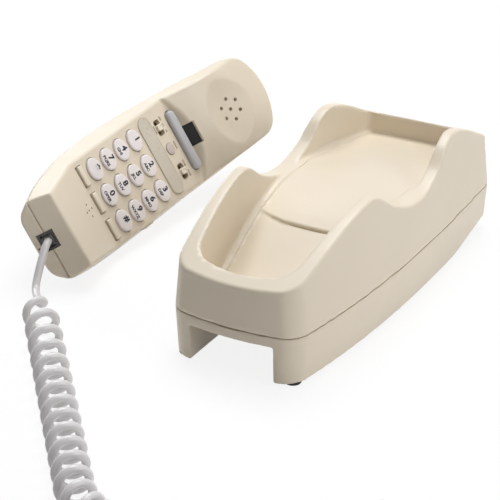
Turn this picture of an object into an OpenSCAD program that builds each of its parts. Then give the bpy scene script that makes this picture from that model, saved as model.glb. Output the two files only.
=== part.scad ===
// Corded landline telephone: a one-piece handset with the keypad in its face,
// a long cradle base, and a curly cord. The handset lies on its right side
// beside the base. +Z is up, +Y runs from the mouthpiece end to the ear end.

/* [Base] */
// Length of the base, front to back
base_l = 222; // [200:1:250]
// Width of the base at its front
base_w_front = 68; // [60:0.5:76]
// Width of the base a third of the way back
base_w_third = 88; // [80:0.5:98]
// Width of the base two thirds of the way back
base_w_two_thirds = 91; // [82:0.5:100]
// Width of the base at its back
base_w_back = 84.5; // [76:0.5:94]
// Height of the parting line above the bottom edge
parting_h = 25; // [22:0.5:30]
// Height of the cover above the parting line, at its highest
cover_h = 47; // [40:0.5:56]
// Wall thickness of the base shells
base_wall = 2.5; // [1.8:0.1:3.5]
// How far the cover's sides lean in, per mm of height
cover_draft = 0.11; // [0.04:0.01:0.14]
// How far the bottom shell's sides lean in, per mm of height
bottom_draft = 0.055; // [0.02:0.005:0.08]
// Distance of the cradle's side walls from the base's widest outline
rim_band = 11; // [9:0.5:13]
// Distance of the cradle's end walls from the base's ends
rim_end = 9; // [8:0.5:11]

/* [Cable arch] */
// Width of the arch between the front legs
arch_w = 46; // [36:1:50]
// Height of the arch above the bottom edge
arch_h = 19.5; // [16:0.5:20]
// Depth of the arch from the front of the base
arch_depth = 45; // [36:1:55]
// Thickness of the arch's roof
arch_roof = 1.2; // [0.8:0.1:2]

/* [Feet and fixings] */
// Diameter of a rubber foot
foot_d = 8.6; // [7:0.2:9]
// How far the feet stand out below the bottom edge
foot_h = 1.5; // [1:0.1:2.5]
// Diameter of a base screw's shank
screw_d = 3; // [2.5:0.1:3.5]
// Distance between the two wall slots
wall_slot_pitch = 83.5; // [80:0.5:86]
// Width of a wall slot
wall_slot_w = 5; // [4.5:0.1:6]
// End to end length of a wall slot
wall_slot_l = 12; // [10:0.5:15]

/* [Handset] */
// Length of the handset
hs_l = 202; // [198:1:204]
// Width of the handset at its mouthpiece end
hs_w_mouth = 45; // [44:0.5:48]
// Width of the handset at its widest
hs_w_mid = 63; // [62:0.5:66]
// Width of the handset at its ear end
hs_w_ear = 51; // [49:0.5:54]
// Width of the keypad face
face_w = 53; // [52.5:0.25:55]
// Height of the keypad face above the handset's own level
face_h = 11.5; // [11:0.25:12.5]
// Height of the mouthpiece crest above the handset's own level
mouth_h = 25.4; // [23:0.2:27]
// Height of the ear block above the handset's own level
ear_h = 29; // [27:0.25:31]
// Depth of the back shell at its deepest
back_d = 15.5; // [15:0.25:18]
// Wall thickness of the handset shells
hs_wall = 2.2; // [1.8:0.1:2.4]
// Lean of the lower sides of the back shell, in degrees
cheek_lean = 30; // [28:0.5:32]
// Depth of the flat on which the handset lies
cheek_cut = 2.8; // [2.4:0.1:3]
// Rise of the ear end where the handset lies, in degrees
ear_rise = 6; // [5:0.5:6.5]

/* [Keypad] */
// Distance between key columns
key_pitch_x = 16.3; // [15.5:0.1:17]
// Distance between key rows
key_pitch_y = 12.3; // [12:0.1:12.8]
// Length of a key's oval, across the handset
key_w = 12.9; // [11:0.1:13.4]
// Width of a key's oval, along the handset
key_l = 10; // [9:0.1:10.4]
// How far the keys stand out of the face
key_proud = 1.6; // [1:0.1:2.2]
// Travel of a key
key_travel = 1.2; // [0.8:0.1:1.4]
// Clearance round keys, buttons and knobs
slip = 0.3; // [0.2:0.05:0.4]
// Middle of the keypad, from the mouthpiece end
keypad_y = 78; // [77:0.5:79]

/* [Buttons and switches] */
// Length of a bar button
bar_w = 12; // [11:0.1:12.4]
// Width of a bar button
bar_l = 3.2; // [2.8:0.1:3.6]
// Length of the number window
window_w = 48; // [44:0.5:49]
// Width of the number window
window_l = 10.3; // [9.5:0.1:10.6]
// Length of the hook bar
hook_w = 37.5; // [34:0.5:38]
// Width of the hook bar
hook_l = 6; // [5.5:0.1:6.4]
// How far the hook bar stands out of the face
hook_proud = 3.4; // [3:0.1:3.8]
// Travel of the hook bar
hook_travel = 2.6; // [2:0.1:3]
// Diameter of the round button
round_d = 6.6; // [5.5:0.1:7.5]
// Length of a slide switch's slot
slot_w = 9.8; // [9:0.1:10.4]
// Width of a slide switch's slot
slot_l = 5; // [4.4:0.1:5.2]
// Length of a slide switch's knob
knob_w = 3.6; // [3:0.1:4]
// How far a slide switch's knob stands out of the face
knob_proud = 1.6; // [0.4:0.1:2]

/* [Cord] */
// Diameter of the cord
cord_d = 4.2; // [4:0.1:4.3]
// Distance of the cord's middle from the axis of its curls
curl_r = 7.1; // [6.8:0.1:7.2]
// Number of curls
curls = 38; // [30:1:44]
// Distance from curl to curl where the cord is drawn out
open_pitch = 11.5; // [11:0.1:13]
// Distance from curl to curl where the cord is slack
slack_pitch = 5.7; // [5.6:0.1:6.4]
// Number of curls that are drawn out
open_curls = 15; // [12:1:16]
// How much further the first curls are drawn out
first_stretch = 27; // [24:1:30]
// How much further the last curl is drawn out
last_stretch = 12; // [8:1:16]

/* [Hidden] */

shell_c = [0.86, 0.82, 0.73];
key_c = [0.78, 0.77, 0.80];
grey_c = [0.70, 0.69, 0.68];
cord_c = [0.74, 0.74, 0.76];
dark_c = [0.16, 0.14, 0.13];
metal_c = [0.70, 0.70, 0.72];
board_c = [0.25, 0.42, 0.28];

big = 400;
tiny = 0.01;
seat = 0.3;

// ---- shared shapes ----

function lagrange(t, a, b, c, d) =
    a * -4.5 * (t - 1/3) * (t - 2/3) * (t - 1)
    + b * 13.5 * t * (t - 2/3) * (t - 1)
    - c * 13.5 * t * (t - 1/3) * (t - 1)
    + d * 4.5 * t * (t - 1/3) * (t - 2/3);
function bend(p, q, r, n) = [for (i = [1:n - 1]) let (t = i / n)
    (1 - t) * (1 - t) * p + 2 * t * (1 - t) * q + t * t * r];
function hermite(a, b, t) = let (h = b[0] - a[0])
    [a[0] + h * t,
     (2*t*t*t - 3*t*t + 1) * a[1] + (t*t*t - 2*t*t + t) * h * a[2]
     + (3*t*t - 2*t*t*t) * b[1] + (t*t*t - t*t) * h * b[2]];
function hermite_line(knots, n) = [for (i = [0:len(knots) - 2]) for (j = [0:n - 1])
    hermite(knots[i], knots[i + 1], j / n), [knots[len(knots) - 1][0],
    knots[len(knots) - 1][1]]];
function mirrored(points) = [for (i = [len(points) - 1:-1:0])
    [-points[i][0], points[i][1]]];
function ease(t) = let (c = max(0, min(1, t))) c * c * (3 - 2 * c);

// A solid whose outline is drawn in Y and Z, centred across X
module side_profile(points, width) {
    translate([-width / 2, 0, 0]) rotate([90, 0, 90]) linear_extrude(width) polygon(points);
}
module oval(w, l, h) {
    linear_extrude(h) polygon([for (i = [0:27]) [w / 2 * cos(i * 360 / 28),
        l / 2 * sin(i * 360 / 28)]]);
}
module pill(w, l, h) {
    translate([l / 2 - w / 2, -l / 2, 0]) cube([w - l, l, h]);
    for (s = [-1, 1]) translate([s * (w - l) / 2, 0, 0]) cylinder(d = l, h = h, $fn = 32);
}

// ---- base ----

base_at = [58.25, -115.43, foot_h];
module on_base() {
    translate(base_at) children();
}

front_bulge = 4.7;
back_bulge = 1;
front_corner = 8.5;
back_corner = 6.5;
function base_half(y) = lagrange(y / base_l, base_w_front, base_w_third,
    base_w_two_thirds, base_w_back) / 2;
// Right half of the base's outline, moved in at the sides and at the ends
function base_side(in_x, in_y) = let (
    wf = base_half(front_corner) - in_x,
    wb = base_half(base_l - back_corner) - in_x,
    yf = in_y + front_bulge * pow((wf - front_corner) / wf, 2),
    yb = base_l - in_y - back_bulge * pow((wb - back_corner) / wb, 2),
    ys = yf + front_corner, ye = yb - back_corner)
    concat(
        [for (i = [0:5]) let (x = i / 5 * (wf - front_corner))
            [x, in_y + front_bulge * pow(x / wf, 2)]],
        bend([wf - front_corner, yf], [base_half(ys) - in_x, yf + 1.5],
            [base_half(ys) - in_x, ys], 6),
        [for (i = [0:12]) let (y = ys + (ye - ys) * i / 12) [base_half(y) - in_x, y]],
        bend([base_half(ye) - in_x, ye], [base_half(ye) - in_x, yb],
            [wb - back_corner, yb], 6),
        [for (i = [0:2]) let (x = (wb - back_corner) * (1 - i / 2))
            [x, base_l - in_y - back_bulge * pow(x / wb, 2)]]);
function base_outline(in_x, in_y) = let (s = base_side(in_x, in_y))
    concat(s, [for (i = [len(s) - 2:-1:1]) [-s[i][0], s[i][1]]]);

base_mid = base_l / 2;
half_top = (base_w_two_thirds + base_w_third) / 4;
end_lean = 0.4;
// A body of the base's outline that leans in over height h, up or down
module base_body(h, lean, in) {
    translate([0, base_mid, 0])
        linear_extrude(h, slices = 1,
            scale = [1 - lean * h / half_top, 1 - end_lean * lean * h / base_mid])
            translate([0, -base_mid]) polygon(base_outline(in, in));
}

// The rim seen from the side: share of the base's length, share of the cover's
// height, and slope in mm per mm
front_rim = 0.47;
rim_knots = [[0, front_rim, 0.4], [0.31, 0.985, 0.13], [0.355, 0.975, -0.36],
    [0.43, 0.75, -0.5], [0.56, 0.585, 0], [0.66, 0.72, 0.53], [0.72, 0.93, 0.5],
    [0.765, 1, 0], [0.86, 0.88, -0.4], [1, 0.585, -0.28]];
rim_line = hermite_line([for (k = rim_knots)
    [k[0] * base_l, parting_h + k[1] * cover_h, k[2]]], 5);
function lowered(points, d) = [for (p = points) [p[0], p[1] - d]];

// The cradle's floor at the middle of the base, in two runs with a step between
step_y = 0.36 * base_l;
step_bow = 7;
step_half = 32;
well_z = arch_h + arch_roof + slip + base_wall;
front_floor = [[0, well_z, 0], [0.09 * base_l, well_z, 0.03], [0.2 * base_l, 28.5, 0.36],
    [0.36 * base_l, 42.8, 0.4]];
rear_floor = [[0.3 * base_l, 44, 0.1], [0.5 * base_l, 46.8, 0.03],
    [0.62 * base_l, 46.8, -0.03], [0.76 * base_l, 44.4, -0.12], [0.96 * base_l, 40, -0.08]];
front_floor_line = hermite_line(front_floor, 4);
rear_floor_line = hermite_line(rear_floor, 4);
step_r = (step_half * step_half + step_bow * step_bow) / (2 * step_bow);

// All that lies below the cradle's floor, moved down by d
module below_floor(d) {
    front = concat([[-1, -1]], [[-1, front_floor_line[0][1] - d]],
        lowered(front_floor_line, d),
        [[base_l + 1, front_floor_line[len(front_floor_line) - 1][1] - d], [base_l + 1, -1]]);
    rear = concat([[rear_floor_line[0][0], -1]], lowered(rear_floor_line, d),
        [[base_l + 1, rear_floor_line[len(rear_floor_line) - 1][1] - d], [base_l + 1, -1]]);
    side_profile(front, 2 * base_w_third);
    intersection() {
        side_profile(rear, 2 * base_w_third);
        translate([0, step_y + step_r - d, -1]) cylinder(r = step_r, h = big, $fn = 120);
        translate([-base_w_third, 0, -1]) cube([2 * base_w_third, base_l + 2, big]);
    }
}
module below_rim(d) {
    side_profile(concat([[-1, -1], [-1, rim_line[0][1] - d]], lowered(rim_line, d),
        [[base_l + 1, rim_line[len(rim_line) - 1][1] - d], [base_l + 1, -1]]),
        2 * base_w_third);
}
// The well that the handset lies in; grow is the skin kept round it
module cradle(grow) {
    difference() {
        linear_extrude(big) polygon(base_outline(rim_band - grow, rim_end - grow));
        below_floor(grow);
    }
}
module below_parting() {
    translate([-big / 2, -big / 2, parting_h - big]) cube(big);
}

module base_cover() {
    color(shell_c) on_base() difference() {
        union() {
            difference() {
                union() {
                    intersection() {
                        translate([0, 0, parting_h]) base_body(cover_h, cover_draft, 0);
                        below_rim(0);
                    }
                    intersection() {
                        cradle(base_wall);
                        below_parting();
                    }
                }
                cradle(0);
                difference() {
                    intersection() {
                        translate([0, 0, parting_h - tiny])
                            base_body(cover_h, cover_draft, base_wall);
                        below_rim(base_wall);
                    }
                    cradle(base_wall);
                    for (p = screw_places) translate([p[0], p[1], 0])
                        cylinder(d = boss_d, h = big, $fn = 32);
                }
            }
            for (p = screw_places) translate([p[0], p[1], parting_h - boss_drop])
                cylinder(d = boss_d, h = boss_drop + 1, $fn = 32);
        }
        for (p = screw_places) translate([p[0], p[1], parting_h - boss_drop - 1])
            cylinder(d = screw_d, h = screw_bite + 1, $fn = 24);
    }
}

leg_screw_y = 24;
boss_d = 7.4;
boss_drop = 4;
screw_bite = 10;
screw_head_d = 5.6;
screw_head_h = 2;
rear_screw_y = 0.8 * base_l;
screw_places = [for (s = [-1, 1]) [s * (base_half(leg_screw_y) - 7.5), leg_screw_y],
    for (s = [-1, 1]) [s * (base_half(rear_screw_y) - 13), rear_screw_y]];
rear_rise_y = 0.77 * base_l;
rear_rise = 6.5;
floor_t = 2.5;
screw_post_d = 8;

function rear_floor_z(y) = max(0, (y - rear_rise_y) / (base_l - rear_rise_y) * rear_rise);

module bottom_solid(in) {
    difference() {
        translate([0, 0, parting_h]) mirror([0, 0, 1])
            base_body(parting_h, bottom_draft, in);
        side_profile([[rear_rise_y, -1], [rear_rise_y, in > 0 ? floor_t : 0],
            [base_l + 1, rear_rise * 1.02 + (in > 0 ? floor_t : 0)], [base_l + 1, -1]],
            2 * base_w_third);
    }
}
module arch_block(wall, roof) {
    translate([-arch_w / 2 - wall, -10, -1])
        cube([arch_w + 2 * wall, arch_depth + 10 + wall, arch_h + 1 + roof]);
}
foot_places = [for (s = [-1, 1]) [s * (base_half(10) - foot_d / 2 - 2.2), 11],
    for (s = [-1, 1]) [s * (base_half(rear_rise_y) - 12), rear_rise_y - 10]];
foot_sunk = 1;
wall_slot_y = 70;

module base_bottom() {
    color(shell_c) on_base() difference() {
        union() {
            difference() {
                bottom_solid(0);
                difference() {
                    intersection() {
                        bottom_solid(base_wall);
                        translate([-big / 2, 0, floor_t]) cube([big, base_l, big]);
                    }
                    arch_block(base_wall, arch_roof);
                }
            }
            for (p = screw_places) translate([p[0], p[1], rear_floor_z(p[1])])
                cylinder(d = screw_post_d, h = parting_h - boss_drop - rear_floor_z(p[1]),
                    $fn = 32);
        }
        arch_block(0, 0);
        for (p = screw_places) translate([p[0], p[1], -1]) {
            cylinder(d = screw_d + 0.4, h = parting_h, $fn = 24);
            cylinder(d = screw_head_d + 0.6, h = 1 + screw_sunk, $fn = 32);
        }
        for (p = foot_places) translate([p[0], p[1], -tiny])
            cylinder(d = foot_d, h = foot_sunk + tiny, $fn = 32);
        for (y = [wall_slot_y, wall_slot_y + wall_slot_pitch]) translate([0, y, -1]) {
            translate([-wall_slot_w / 2, -(wall_slot_l - wall_slot_w) / 2, 0])
                cube([wall_slot_w, wall_slot_l - wall_slot_w, floor_t + 2]);
            for (s = [-1, 1]) translate([0, s * (wall_slot_l - wall_slot_w) / 2, 0])
                cylinder(d = wall_slot_w, h = floor_t + 2, $fn = 32);
        }
        for (x = [-jack_x, jack_x])
            translate([x - jack_w / 2, arch_depth - 1, jack_z])
                cube([jack_w, base_wall + 2, jack_h]);
    }
}

screw_sunk = 12;
screw_l = parting_h - boss_drop - screw_sunk + screw_bite - 1;
module base_screws() {
    color(metal_c) on_base() for (p = screw_places) translate([p[0], p[1], 0]) {
        difference() {
            translate([0, 0, screw_sunk - screw_head_h])
                cylinder(d = screw_head_d, h = screw_head_h, $fn = 32);
            translate([-screw_head_d / 2, -0.4, screw_sunk - screw_head_h - 1])
                cube([screw_head_d, 0.8, 1.8]);
        }
        translate([0, 0, screw_sunk]) cylinder(d = screw_d, h = screw_l, $fn = 24);
    }
}

module base_feet() {
    color(dark_c) on_base() for (p = foot_places)
        translate([p[0], p[1], -foot_h]) {
            cylinder(d = foot_d, h = foot_h + foot_sunk, $fn = 32);
        }
}

ballast_size = [56, 56, 5];
module base_ballast() {
    color(metal_c) on_base()
        translate([-ballast_size[0] / 2, wall_slot_y + wall_slot_l / 2 + 6, floor_t])
            difference() {
                cube(ballast_size);
                for (s = [0.15, 0.85]) translate([ballast_size[0] * s, ballast_size[1] / 2, -1])
                    cylinder(d = 4, h = 8, $fn = 24);
            }
}

jack_x = 10;
jack_w = 13.4;
jack_h = 11;
jack_z = 5;
jack_l = 14;
board_t = 1.6;
board_w = 44;
jack_back = arch_depth + jack_l;
module base_jack_board() {
    color(board_c) on_base() translate([-board_w / 2, jack_back, floor_t])
        cube([board_w, board_t, 15]);
}
module modular_jack(opening_w) {
    difference() {
        translate([-jack_w / 2 + slip / 2, 0, slip / 2])
            cube([jack_w - slip, jack_l, jack_h - slip]);
        translate([-opening_w / 2, -1, 2]) cube([opening_w, jack_l - 1.5, 6.8]);
        translate([-2, -1, 1]) cube([4, jack_l - 5, 2]);
    }
}
module base_handset_jack() {
    color(dark_c) on_base() translate([-jack_x, arch_depth, jack_z]) modular_jack(7.9);
}
module base_line_jack() {
    color(dark_c) on_base() translate([jack_x, arch_depth, jack_z]) modular_jack(9.9);
}

// ---- handset, in its own frame: X across, Y from mouthpiece to ear, Z out of the face ----

// The value at y of a smooth line through knots of place, value and slope
function along(knots, y, i = 0) = i == len(knots) - 2 || y < knots[i + 1][0]
    ? hermite(knots[i], knots[i + 1], (y - knots[i][0]) / (knots[i + 1][0] - knots[i][0]))[1]
    : along(knots, y, i + 1);

// The handset is arched: its parting line, its back and its widest line bow together
width_knots = [[0, hs_w_mouth / 2, 0.26], [0.17 * hs_l, hs_w_mid / 2 - 2.6, 0.13],
    [0.39 * hs_l, hs_w_mid / 2, 0], [0.58 * hs_l, hs_w_mid / 2 - 0.7, -0.05],
    [0.79 * hs_l, hs_w_ear / 2 + 3, -0.1], [hs_l, hs_w_ear / 2 - 0.8, -0.14]];
seam_knots = [[0, 15.5, -0.56], [0.17 * hs_l, 1.2, -0.3], [0.4 * hs_l, -6, -0.02],
    [0.58 * hs_l, -2.6, 0.2], [0.79 * hs_l, 9.5, 0.36], [hs_l, 20, 0.2]];
end_level = 5.8;
back_knots = [[0, end_level, -0.58], [0.1 * hs_l, -4.8, -0.44], [0.2 * hs_l, -11.2, -0.22],
    [0.4 * hs_l, -back_d, -0.02], [0.58 * hs_l, 3 - back_d, 0.18],
    [0.79 * hs_l, -1, 0.36], [hs_l, 12.5, 0.26]];
lean_knots = [[0, 0.15, 0.003], [0.2 * hs_l, (hs_w_mid - face_w) / 2 / (face_h + 6), 0],
    [0.6 * hs_l, (hs_w_mid - face_w) / 2 / (face_h + 6), 0], [hs_l, 0.1, -0.002]];
function seam(y) = along(seam_knots, y);
function back(y) = along(back_knots, y);
// Distance of the handset's side from its middle, at y and at height z
function side_x(y, z) = along(width_knots, y) - (z - seam(y)) * along(lean_knots, y);

back_edge_r = 3;
loft_top = 34;
loft_step = 6.6;
// Right half of the cross section at y, moved in by in
function section_half(y, in) = let (
    w = along(width_knots, y) - in, zs = seam(y), zb = back(y) + in, r = back_edge_r,
    lean = tan(cheek_lean), xb = w - (zs - zb) * lean, xr = w - (zs - zb - r) * lean)
    concat([[side_x(y, loft_top) - in, loft_top], [w, zs], [xr, zb + r]],
        bend([xr, zb + r], [xb, zb], [xb - r, zb], 4), [[xb - r, zb]]);
function section_ring(y, in) = let (half = section_half(y, in)) concat(half, mirrored(half));
module handset_loft(in) {
    ys = [for (y = [-7:loft_step:hs_l + 7]) y];
    rings = [for (y = ys) section_ring(y, in)];
    n = len(rings[0]);
    points = [for (i = [0:len(ys) - 1]) for (p = rings[i]) [p[0], ys[i], p[1]]];
    wall = [for (i = [0:len(ys) - 2]) for (k = [0:n - 1]) let (a = i * n + k,
        b = i * n + (k + 1) % n) each [[a, b, a + n], [b, b + n, a + n]]];
    first = [for (k = [1:n - 2]) [0, k + 1, k]];
    last = [for (k = [1:n - 2]) let (o = (len(ys) - 1) * n) [o, o + k, o + k + 1]];
    polyhedron(points, [for (t = concat(wall, first, last)) [t[2], t[1], t[0]]], convexity = 10);
}

mouth_lean = 30;
ear_lean = 14;
ear_bow = 10;
ear_corner = 5;
// The slanted end of the mouthpiece, moved in by in
module past_mouth_end(in) {
    translate([0, 0, end_level]) rotate([-mouth_lean, 0, 0])
        translate([-big / 2, in, -big / 2]) cube([big, big, big]);
}
// All that lies within the bowed ear end, moved in by in
module within_ear_end(in) {
    w = hs_w_ear / 2 - in;
    y_end = hs_l - in;
    yk = y_end - ear_bow * pow((w - ear_corner) / (hs_w_ear / 2), 2);
    side = concat([[big / 2, -20], [big / 2, hs_l / 2], [w + 3, yk - ear_corner - 22]],
        [[w, yk - ear_corner]],
        bend([w, yk - ear_corner], [w - 0.4, yk - 1], [w - ear_corner, yk], 6),
        [for (i = [0:6]) let (x = (w - ear_corner) * (1 - i / 6))
            [x, y_end - ear_bow * pow(x / (hs_w_ear / 2), 2)]]);
    translate([0, hs_l, back(hs_l)]) rotate([ear_lean, 0, 0]) translate([0, -hs_l, -big / 2])
        linear_extrude(big) polygon(concat(side, [for (i = [len(side) - 2:-1:0])
            [-side[i][0], side[i][1]]]));
}
// The flat low on the handset's right side, on which it lies
cheek_y = 66;
roll = 90 - cheek_lean;
cheek_reach = side_x(cheek_y, seam(cheek_y)) * cos(cheek_lean) * cos(ear_rise)
    - cheek_y * sin(ear_rise) - seam(cheek_y) * sin(cheek_lean) * cos(ear_rise) - cheek_cut;
module beyond_cheek(in) {
    rotate([0, -roll, 0]) rotate([-ear_rise, 0, 0])
        translate([-big, -big, in - cheek_reach - big]) cube([2 * big, 2 * big, big]);
}
handset_at = [-82.35, -84.03, cheek_reach];
handset_yaw = -3;
module on_handset() {
    translate(handset_at) rotate([ear_rise, 0, handset_yaw]) rotate([0, roll, 0]) children();
}
module handset_body(in) {
    difference() {
        intersection() {
            handset_loft(in);
            past_mouth_end(in);
            within_ear_end(in);
        }
        beyond_cheek(in);
    }
}
seam_line = [for (i = [0:30]) let (y = hs_l * i / 30) [y, seam(y)]];
module above_seam() {
    side_profile(concat([[-10, big / 2], [-10, seam(0) + 5.6]], seam_line,
        [[hs_l + 10, seam(hs_l) + 2], [hs_l + 10, big / 2]]), 2 * hs_w_mid);
}
module below_seam() {
    side_profile(concat([[-10, -big / 2], [-10, seam(0) + 5.6]], seam_line,
        [[hs_l + 10, seam(hs_l) + 2], [hs_l + 10, -big / 2]]), 2 * hs_w_mid);
}

face_skin = 2.2;
crest_y = (mouth_h - end_level) * tan(mouth_lean);
mouth_slope_end = keypad_y - 33;
arc_apex = keypad_y + 56.5;
arc_r = 60;
crown_drop = 3;
crown_r = (pow(hs_w_ear / 2, 2) + crown_drop * crown_drop) / (2 * crown_drop);
ear_hole_y = keypad_y + 88;
// The face seen from the side, moved down by d
function front_line(d) = concat([[-10, mouth_h - d], [crest_y + 0.4, mouth_h - d]],
    [[mouth_slope_end - 5, face_h + 2.2 - d]],
    bend([mouth_slope_end - 5, face_h + 2.2 - d], [mouth_slope_end - 1, face_h + 0.2 - d],
        [mouth_slope_end + 3, face_h - d], 4),
    [[mouth_slope_end + 3, face_h - d], [hs_l + 10, face_h - d], [hs_l + 10, -big / 2],
    [-10, -big / 2]]);
ear_start = keypad_y + 45;
ear_knots = [[ear_start, face_h - 0.5, 0.2], [ear_start + 12, face_h + 3.8, 0.48],
    [ear_start + 23, face_h + 9.6, 0.48], [ear_hole_y - 6, ear_h - 3.2, 0.3],
    [ear_hole_y + 12, ear_h, 0.02], [hs_l + 2, ear_h - 2, -0.12]];
function ear_line(d) = concat([[ear_start, -big / 2]], lowered(hermite_line(ear_knots, 3), d),
    [[hs_l + 2, -big / 2]]);
dish_d = 38;
dish_depth = 2;
dish_r = (dish_d * dish_d / 4 + dish_depth * dish_depth) / (2 * dish_depth);

module ear_block(d, width) {
    difference() {
        intersection() {
            side_profile(ear_line(d), width);
            translate([0, hs_l + 5, ear_h - crown_r - d]) rotate([90, 0, 0])
                cylinder(r = crown_r, h = hs_l, $fn = 120);
        }
        translate([0, arc_apex - arc_r, face_h - d])
            cylinder(r1 = arc_r + d, r2 = arc_r + d + big / 10, h = big / 10, $fn = 96);
    }
}
module front_solid() {
    intersection() {
        handset_body(0);
        above_seam();
        union() {
            side_profile(front_line(0), 2 * hs_w_mid);
            ear_block(0, 2 * hs_w_mid);
        }
    }
}
ear_room_w = 42;
ear_skin = face_skin + dish_depth;
module front_hollow() {
    intersection() {
        handset_body(hs_wall);
        union() {
            side_profile(front_line(face_skin), 2 * hs_w_mid);
            ear_block(ear_skin, ear_room_w);
            translate([0, receiver_y, 0])
                cylinder(d = receiver_d + 2 * seat, h = receiver_top, $fn = 64);
        }
    }
}
module back_solid() {
    intersection() {
        handset_body(0);
        below_seam();
    }
}

lip = 0.8;
columns = [-key_pitch_x, 0, key_pitch_x];
function key_place(i) = [columns[i % 3], keypad_y + (1.5 - floor(i / 3)) * key_pitch_y];
bar_y = keypad_y - 28;
bar_pitch = 16.6;
window_y = keypad_y + 31;
switch_y = keypad_y + 41;
switch_x = [-13.8, 14.6];
hook_y = keypad_y + 52.6;
slot_liner_y = arc_apex + 0.6;
ear_hole_pitch = 6.6;
mic_y = mouth_slope_end - 5.5;
mic_pitch = 3.6;
mic_d = 9.7;
mic_ring_d = 13;
mic_z = [3.4, 9.2];
key_top = face_h + key_proud;
inner_face = face_h - face_skin;
flange_t = 1.5;
flange_gap = 0.4;
slider_y = keypad_y - 1.5;
slider_z = face_h - 3.6;
slider_l = 9;
slider_w = 3.4;
slider_depth = 3.4;
slider_proud = 0.7;
slider_travel = 3;
slider_x = side_x(slider_y, slider_z) + slider_proud;

// The slanted mouthpiece end's own frame: Y into the handset, Z up along the end
module on_mouth_end() {
    translate([0, 0, end_level]) rotate([-mouth_lean, 0, 0]) children();
}
jack_cut_w = 10.4;
jack_cut_h = 10;
jack_middle = 8.6;
pin_hole_at = [1.9, 2];
pin_hole_d = 1.3;
pin_hole_depth = 2;
module jack_cut() {
    on_mouth_end() translate([-jack_cut_w / 2, -1, jack_middle - jack_cut_h / 2])
        cube([jack_cut_w, hs_wall + 2, jack_cut_h]);
}
ring_wall = 2.4;
module handset_front() {
    color(shell_c) on_handset() difference() {
        union() {
            difference() {
                front_solid();
                front_hollow();
            }
            intersection() {
                front_solid();
                union() {
                    translate([0, mic_y, mic_z[0]]) cylinder(d = mic_ring_d, h = 12, $fn = 40);
                    for (p = hs_screw_places) translate([0, p[0], p[1]])
                        cylinder(d = hs_boss_d, h = big, $fn = 32);
                    translate([0, receiver_y, receiver_top]) difference() {
                        cylinder(d = receiver_d - 2, h = big, $fn = 64);
                        cylinder(d = receiver_d - 2 - 2 * ring_wall,
                            h = ear_h - ear_skin - receiver_top, $fn = 64);
                    }
                }
            }
        }
        translate([0, ear_hole_y, ear_h - dish_depth + dish_r]) sphere(r = dish_r, $fn = 120);
        translate([0, mic_y, mic_z[0] - 1])
            cylinder(d = mic_d + slip, h = mic_z[1] - mic_z[0] + 1 + seat, $fn = 40);
        translate([0, mic_y, 0]) cylinder(d = 1.2, h = 20, $fn = 16);
        for (a = [0:90:270])
            translate([mic_pitch * cos(a), mic_y + mic_pitch * sin(a), 0])
                cylinder(d = 1.2, h = 20, $fn = 16);
        for (i = [0:11]) translate([key_place(i)[0], key_place(i)[1], 0])
            oval(key_w + 2 * slip, key_l + 2 * slip, 20);
        for (s = [-1:1]) translate([s * bar_pitch, bar_y, 10])
            cube([bar_w + 2 * slip, bar_l + 2 * slip, 20], center = true);
        translate([0, window_y, face_h - window_sunk])
            pill(window_w + 0.2, window_l + 0.2, 20);
        for (x = switch_x) translate([x, switch_y, 10]) cube([slot_w, slot_l, 20], center = true);
        translate([0, switch_y, 0]) cylinder(d = round_d + 2 * slip, h = 20, $fn = 32);
        translate([0, hook_y, 0]) pill(hook_w + 2 * slip, hook_l + 2 * slip, 20);
        translate([-liner_w / 2, slot_liner_y, face_h - liner_sunk])
            cube([liner_w, liner_l, 20]);
        translate([0, ear_hole_y, 0]) {
            cylinder(d = 2.3, h = 40, $fn = 20);
            for (a = [30:60:330])
                translate([ear_hole_pitch * sin(a), ear_hole_pitch * cos(a), 0])
                    cylinder(d = 2.3, h = 40, $fn = 20);
        }
        jack_cut();
        translate([slider_x, slider_y, slider_z])
            cube([2 * slider_depth, slider_l + 2 * slider_travel + 2 * slip,
                slider_w + 2 * slip], center = true);
        for (p = hs_screw_places) translate([0, p[0], p[1] - 1])
            cylinder(d = hs_screw_d, h = hs_screw_bite + 1, $fn = 20);
    }
}
window_sunk = 1.1;
liner_w = 13.4;
liner_l = 5;
liner_sunk = 0.6;

// Screws between the shells: place along the handset, and height of the joint
hs_screw_places = [for (y = [25, keypad_y + 69]) [y, seam(y)]];
hs_boss_d = 6.4;
hs_screw_d = 2.4;
hs_screw_bite = 7;
hs_head_d = 5;
hs_head_sunk = 5;
module handset_back() {
    color(shell_c) on_handset() difference() {
        union() {
            difference() {
                back_solid();
                handset_body(hs_wall);
            }
            intersection() {
                handset_body(0);
                union() {
                    for (p = hs_screw_places) translate([0, p[0], p[1] - big])
                        cylinder(d = hs_boss_d + 2, h = big, $fn = 32);
                    for (x = [-1, 1]) for (y = board_posts)
                        translate([x * board_post_x, y, pcb_z - big])
                            cylinder(d = 4, h = big, $fn = 24);
                }
            }
        }
        for (p = hs_screw_places) translate([0, p[0], p[1]]) {
            translate([0, 0, 1 - big]) cylinder(d = hs_screw_d + 0.6, h = big, $fn = 24);
            translate([0, 0, -hs_head_sunk - big])
                cylinder(d = hs_head_d + 0.6, h = big, $fn = 32);
        }
        jack_cut();
        translate([pin_hole_at[0], pin_hole_at[1], back(pin_hole_at[1]) - 1])
            cylinder(d = pin_hole_d, h = 1 + pin_hole_depth, $fn = 16);
    }
}
module handset_screws() {
    color(metal_c) on_handset() for (p = hs_screw_places)
        translate([0, p[0], p[1] - hs_head_sunk]) difference() {
            union() {
                translate([0, 0, -1.8]) cylinder(d = hs_head_d, h = 1.8, $fn = 32);
                cylinder(d = hs_screw_d, h = hs_head_sunk + hs_screw_bite - 1, $fn = 20);
            }
            translate([-3, -0.35, -2.6]) cube([6, 0.7, 1.6]);
        }
}

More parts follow.
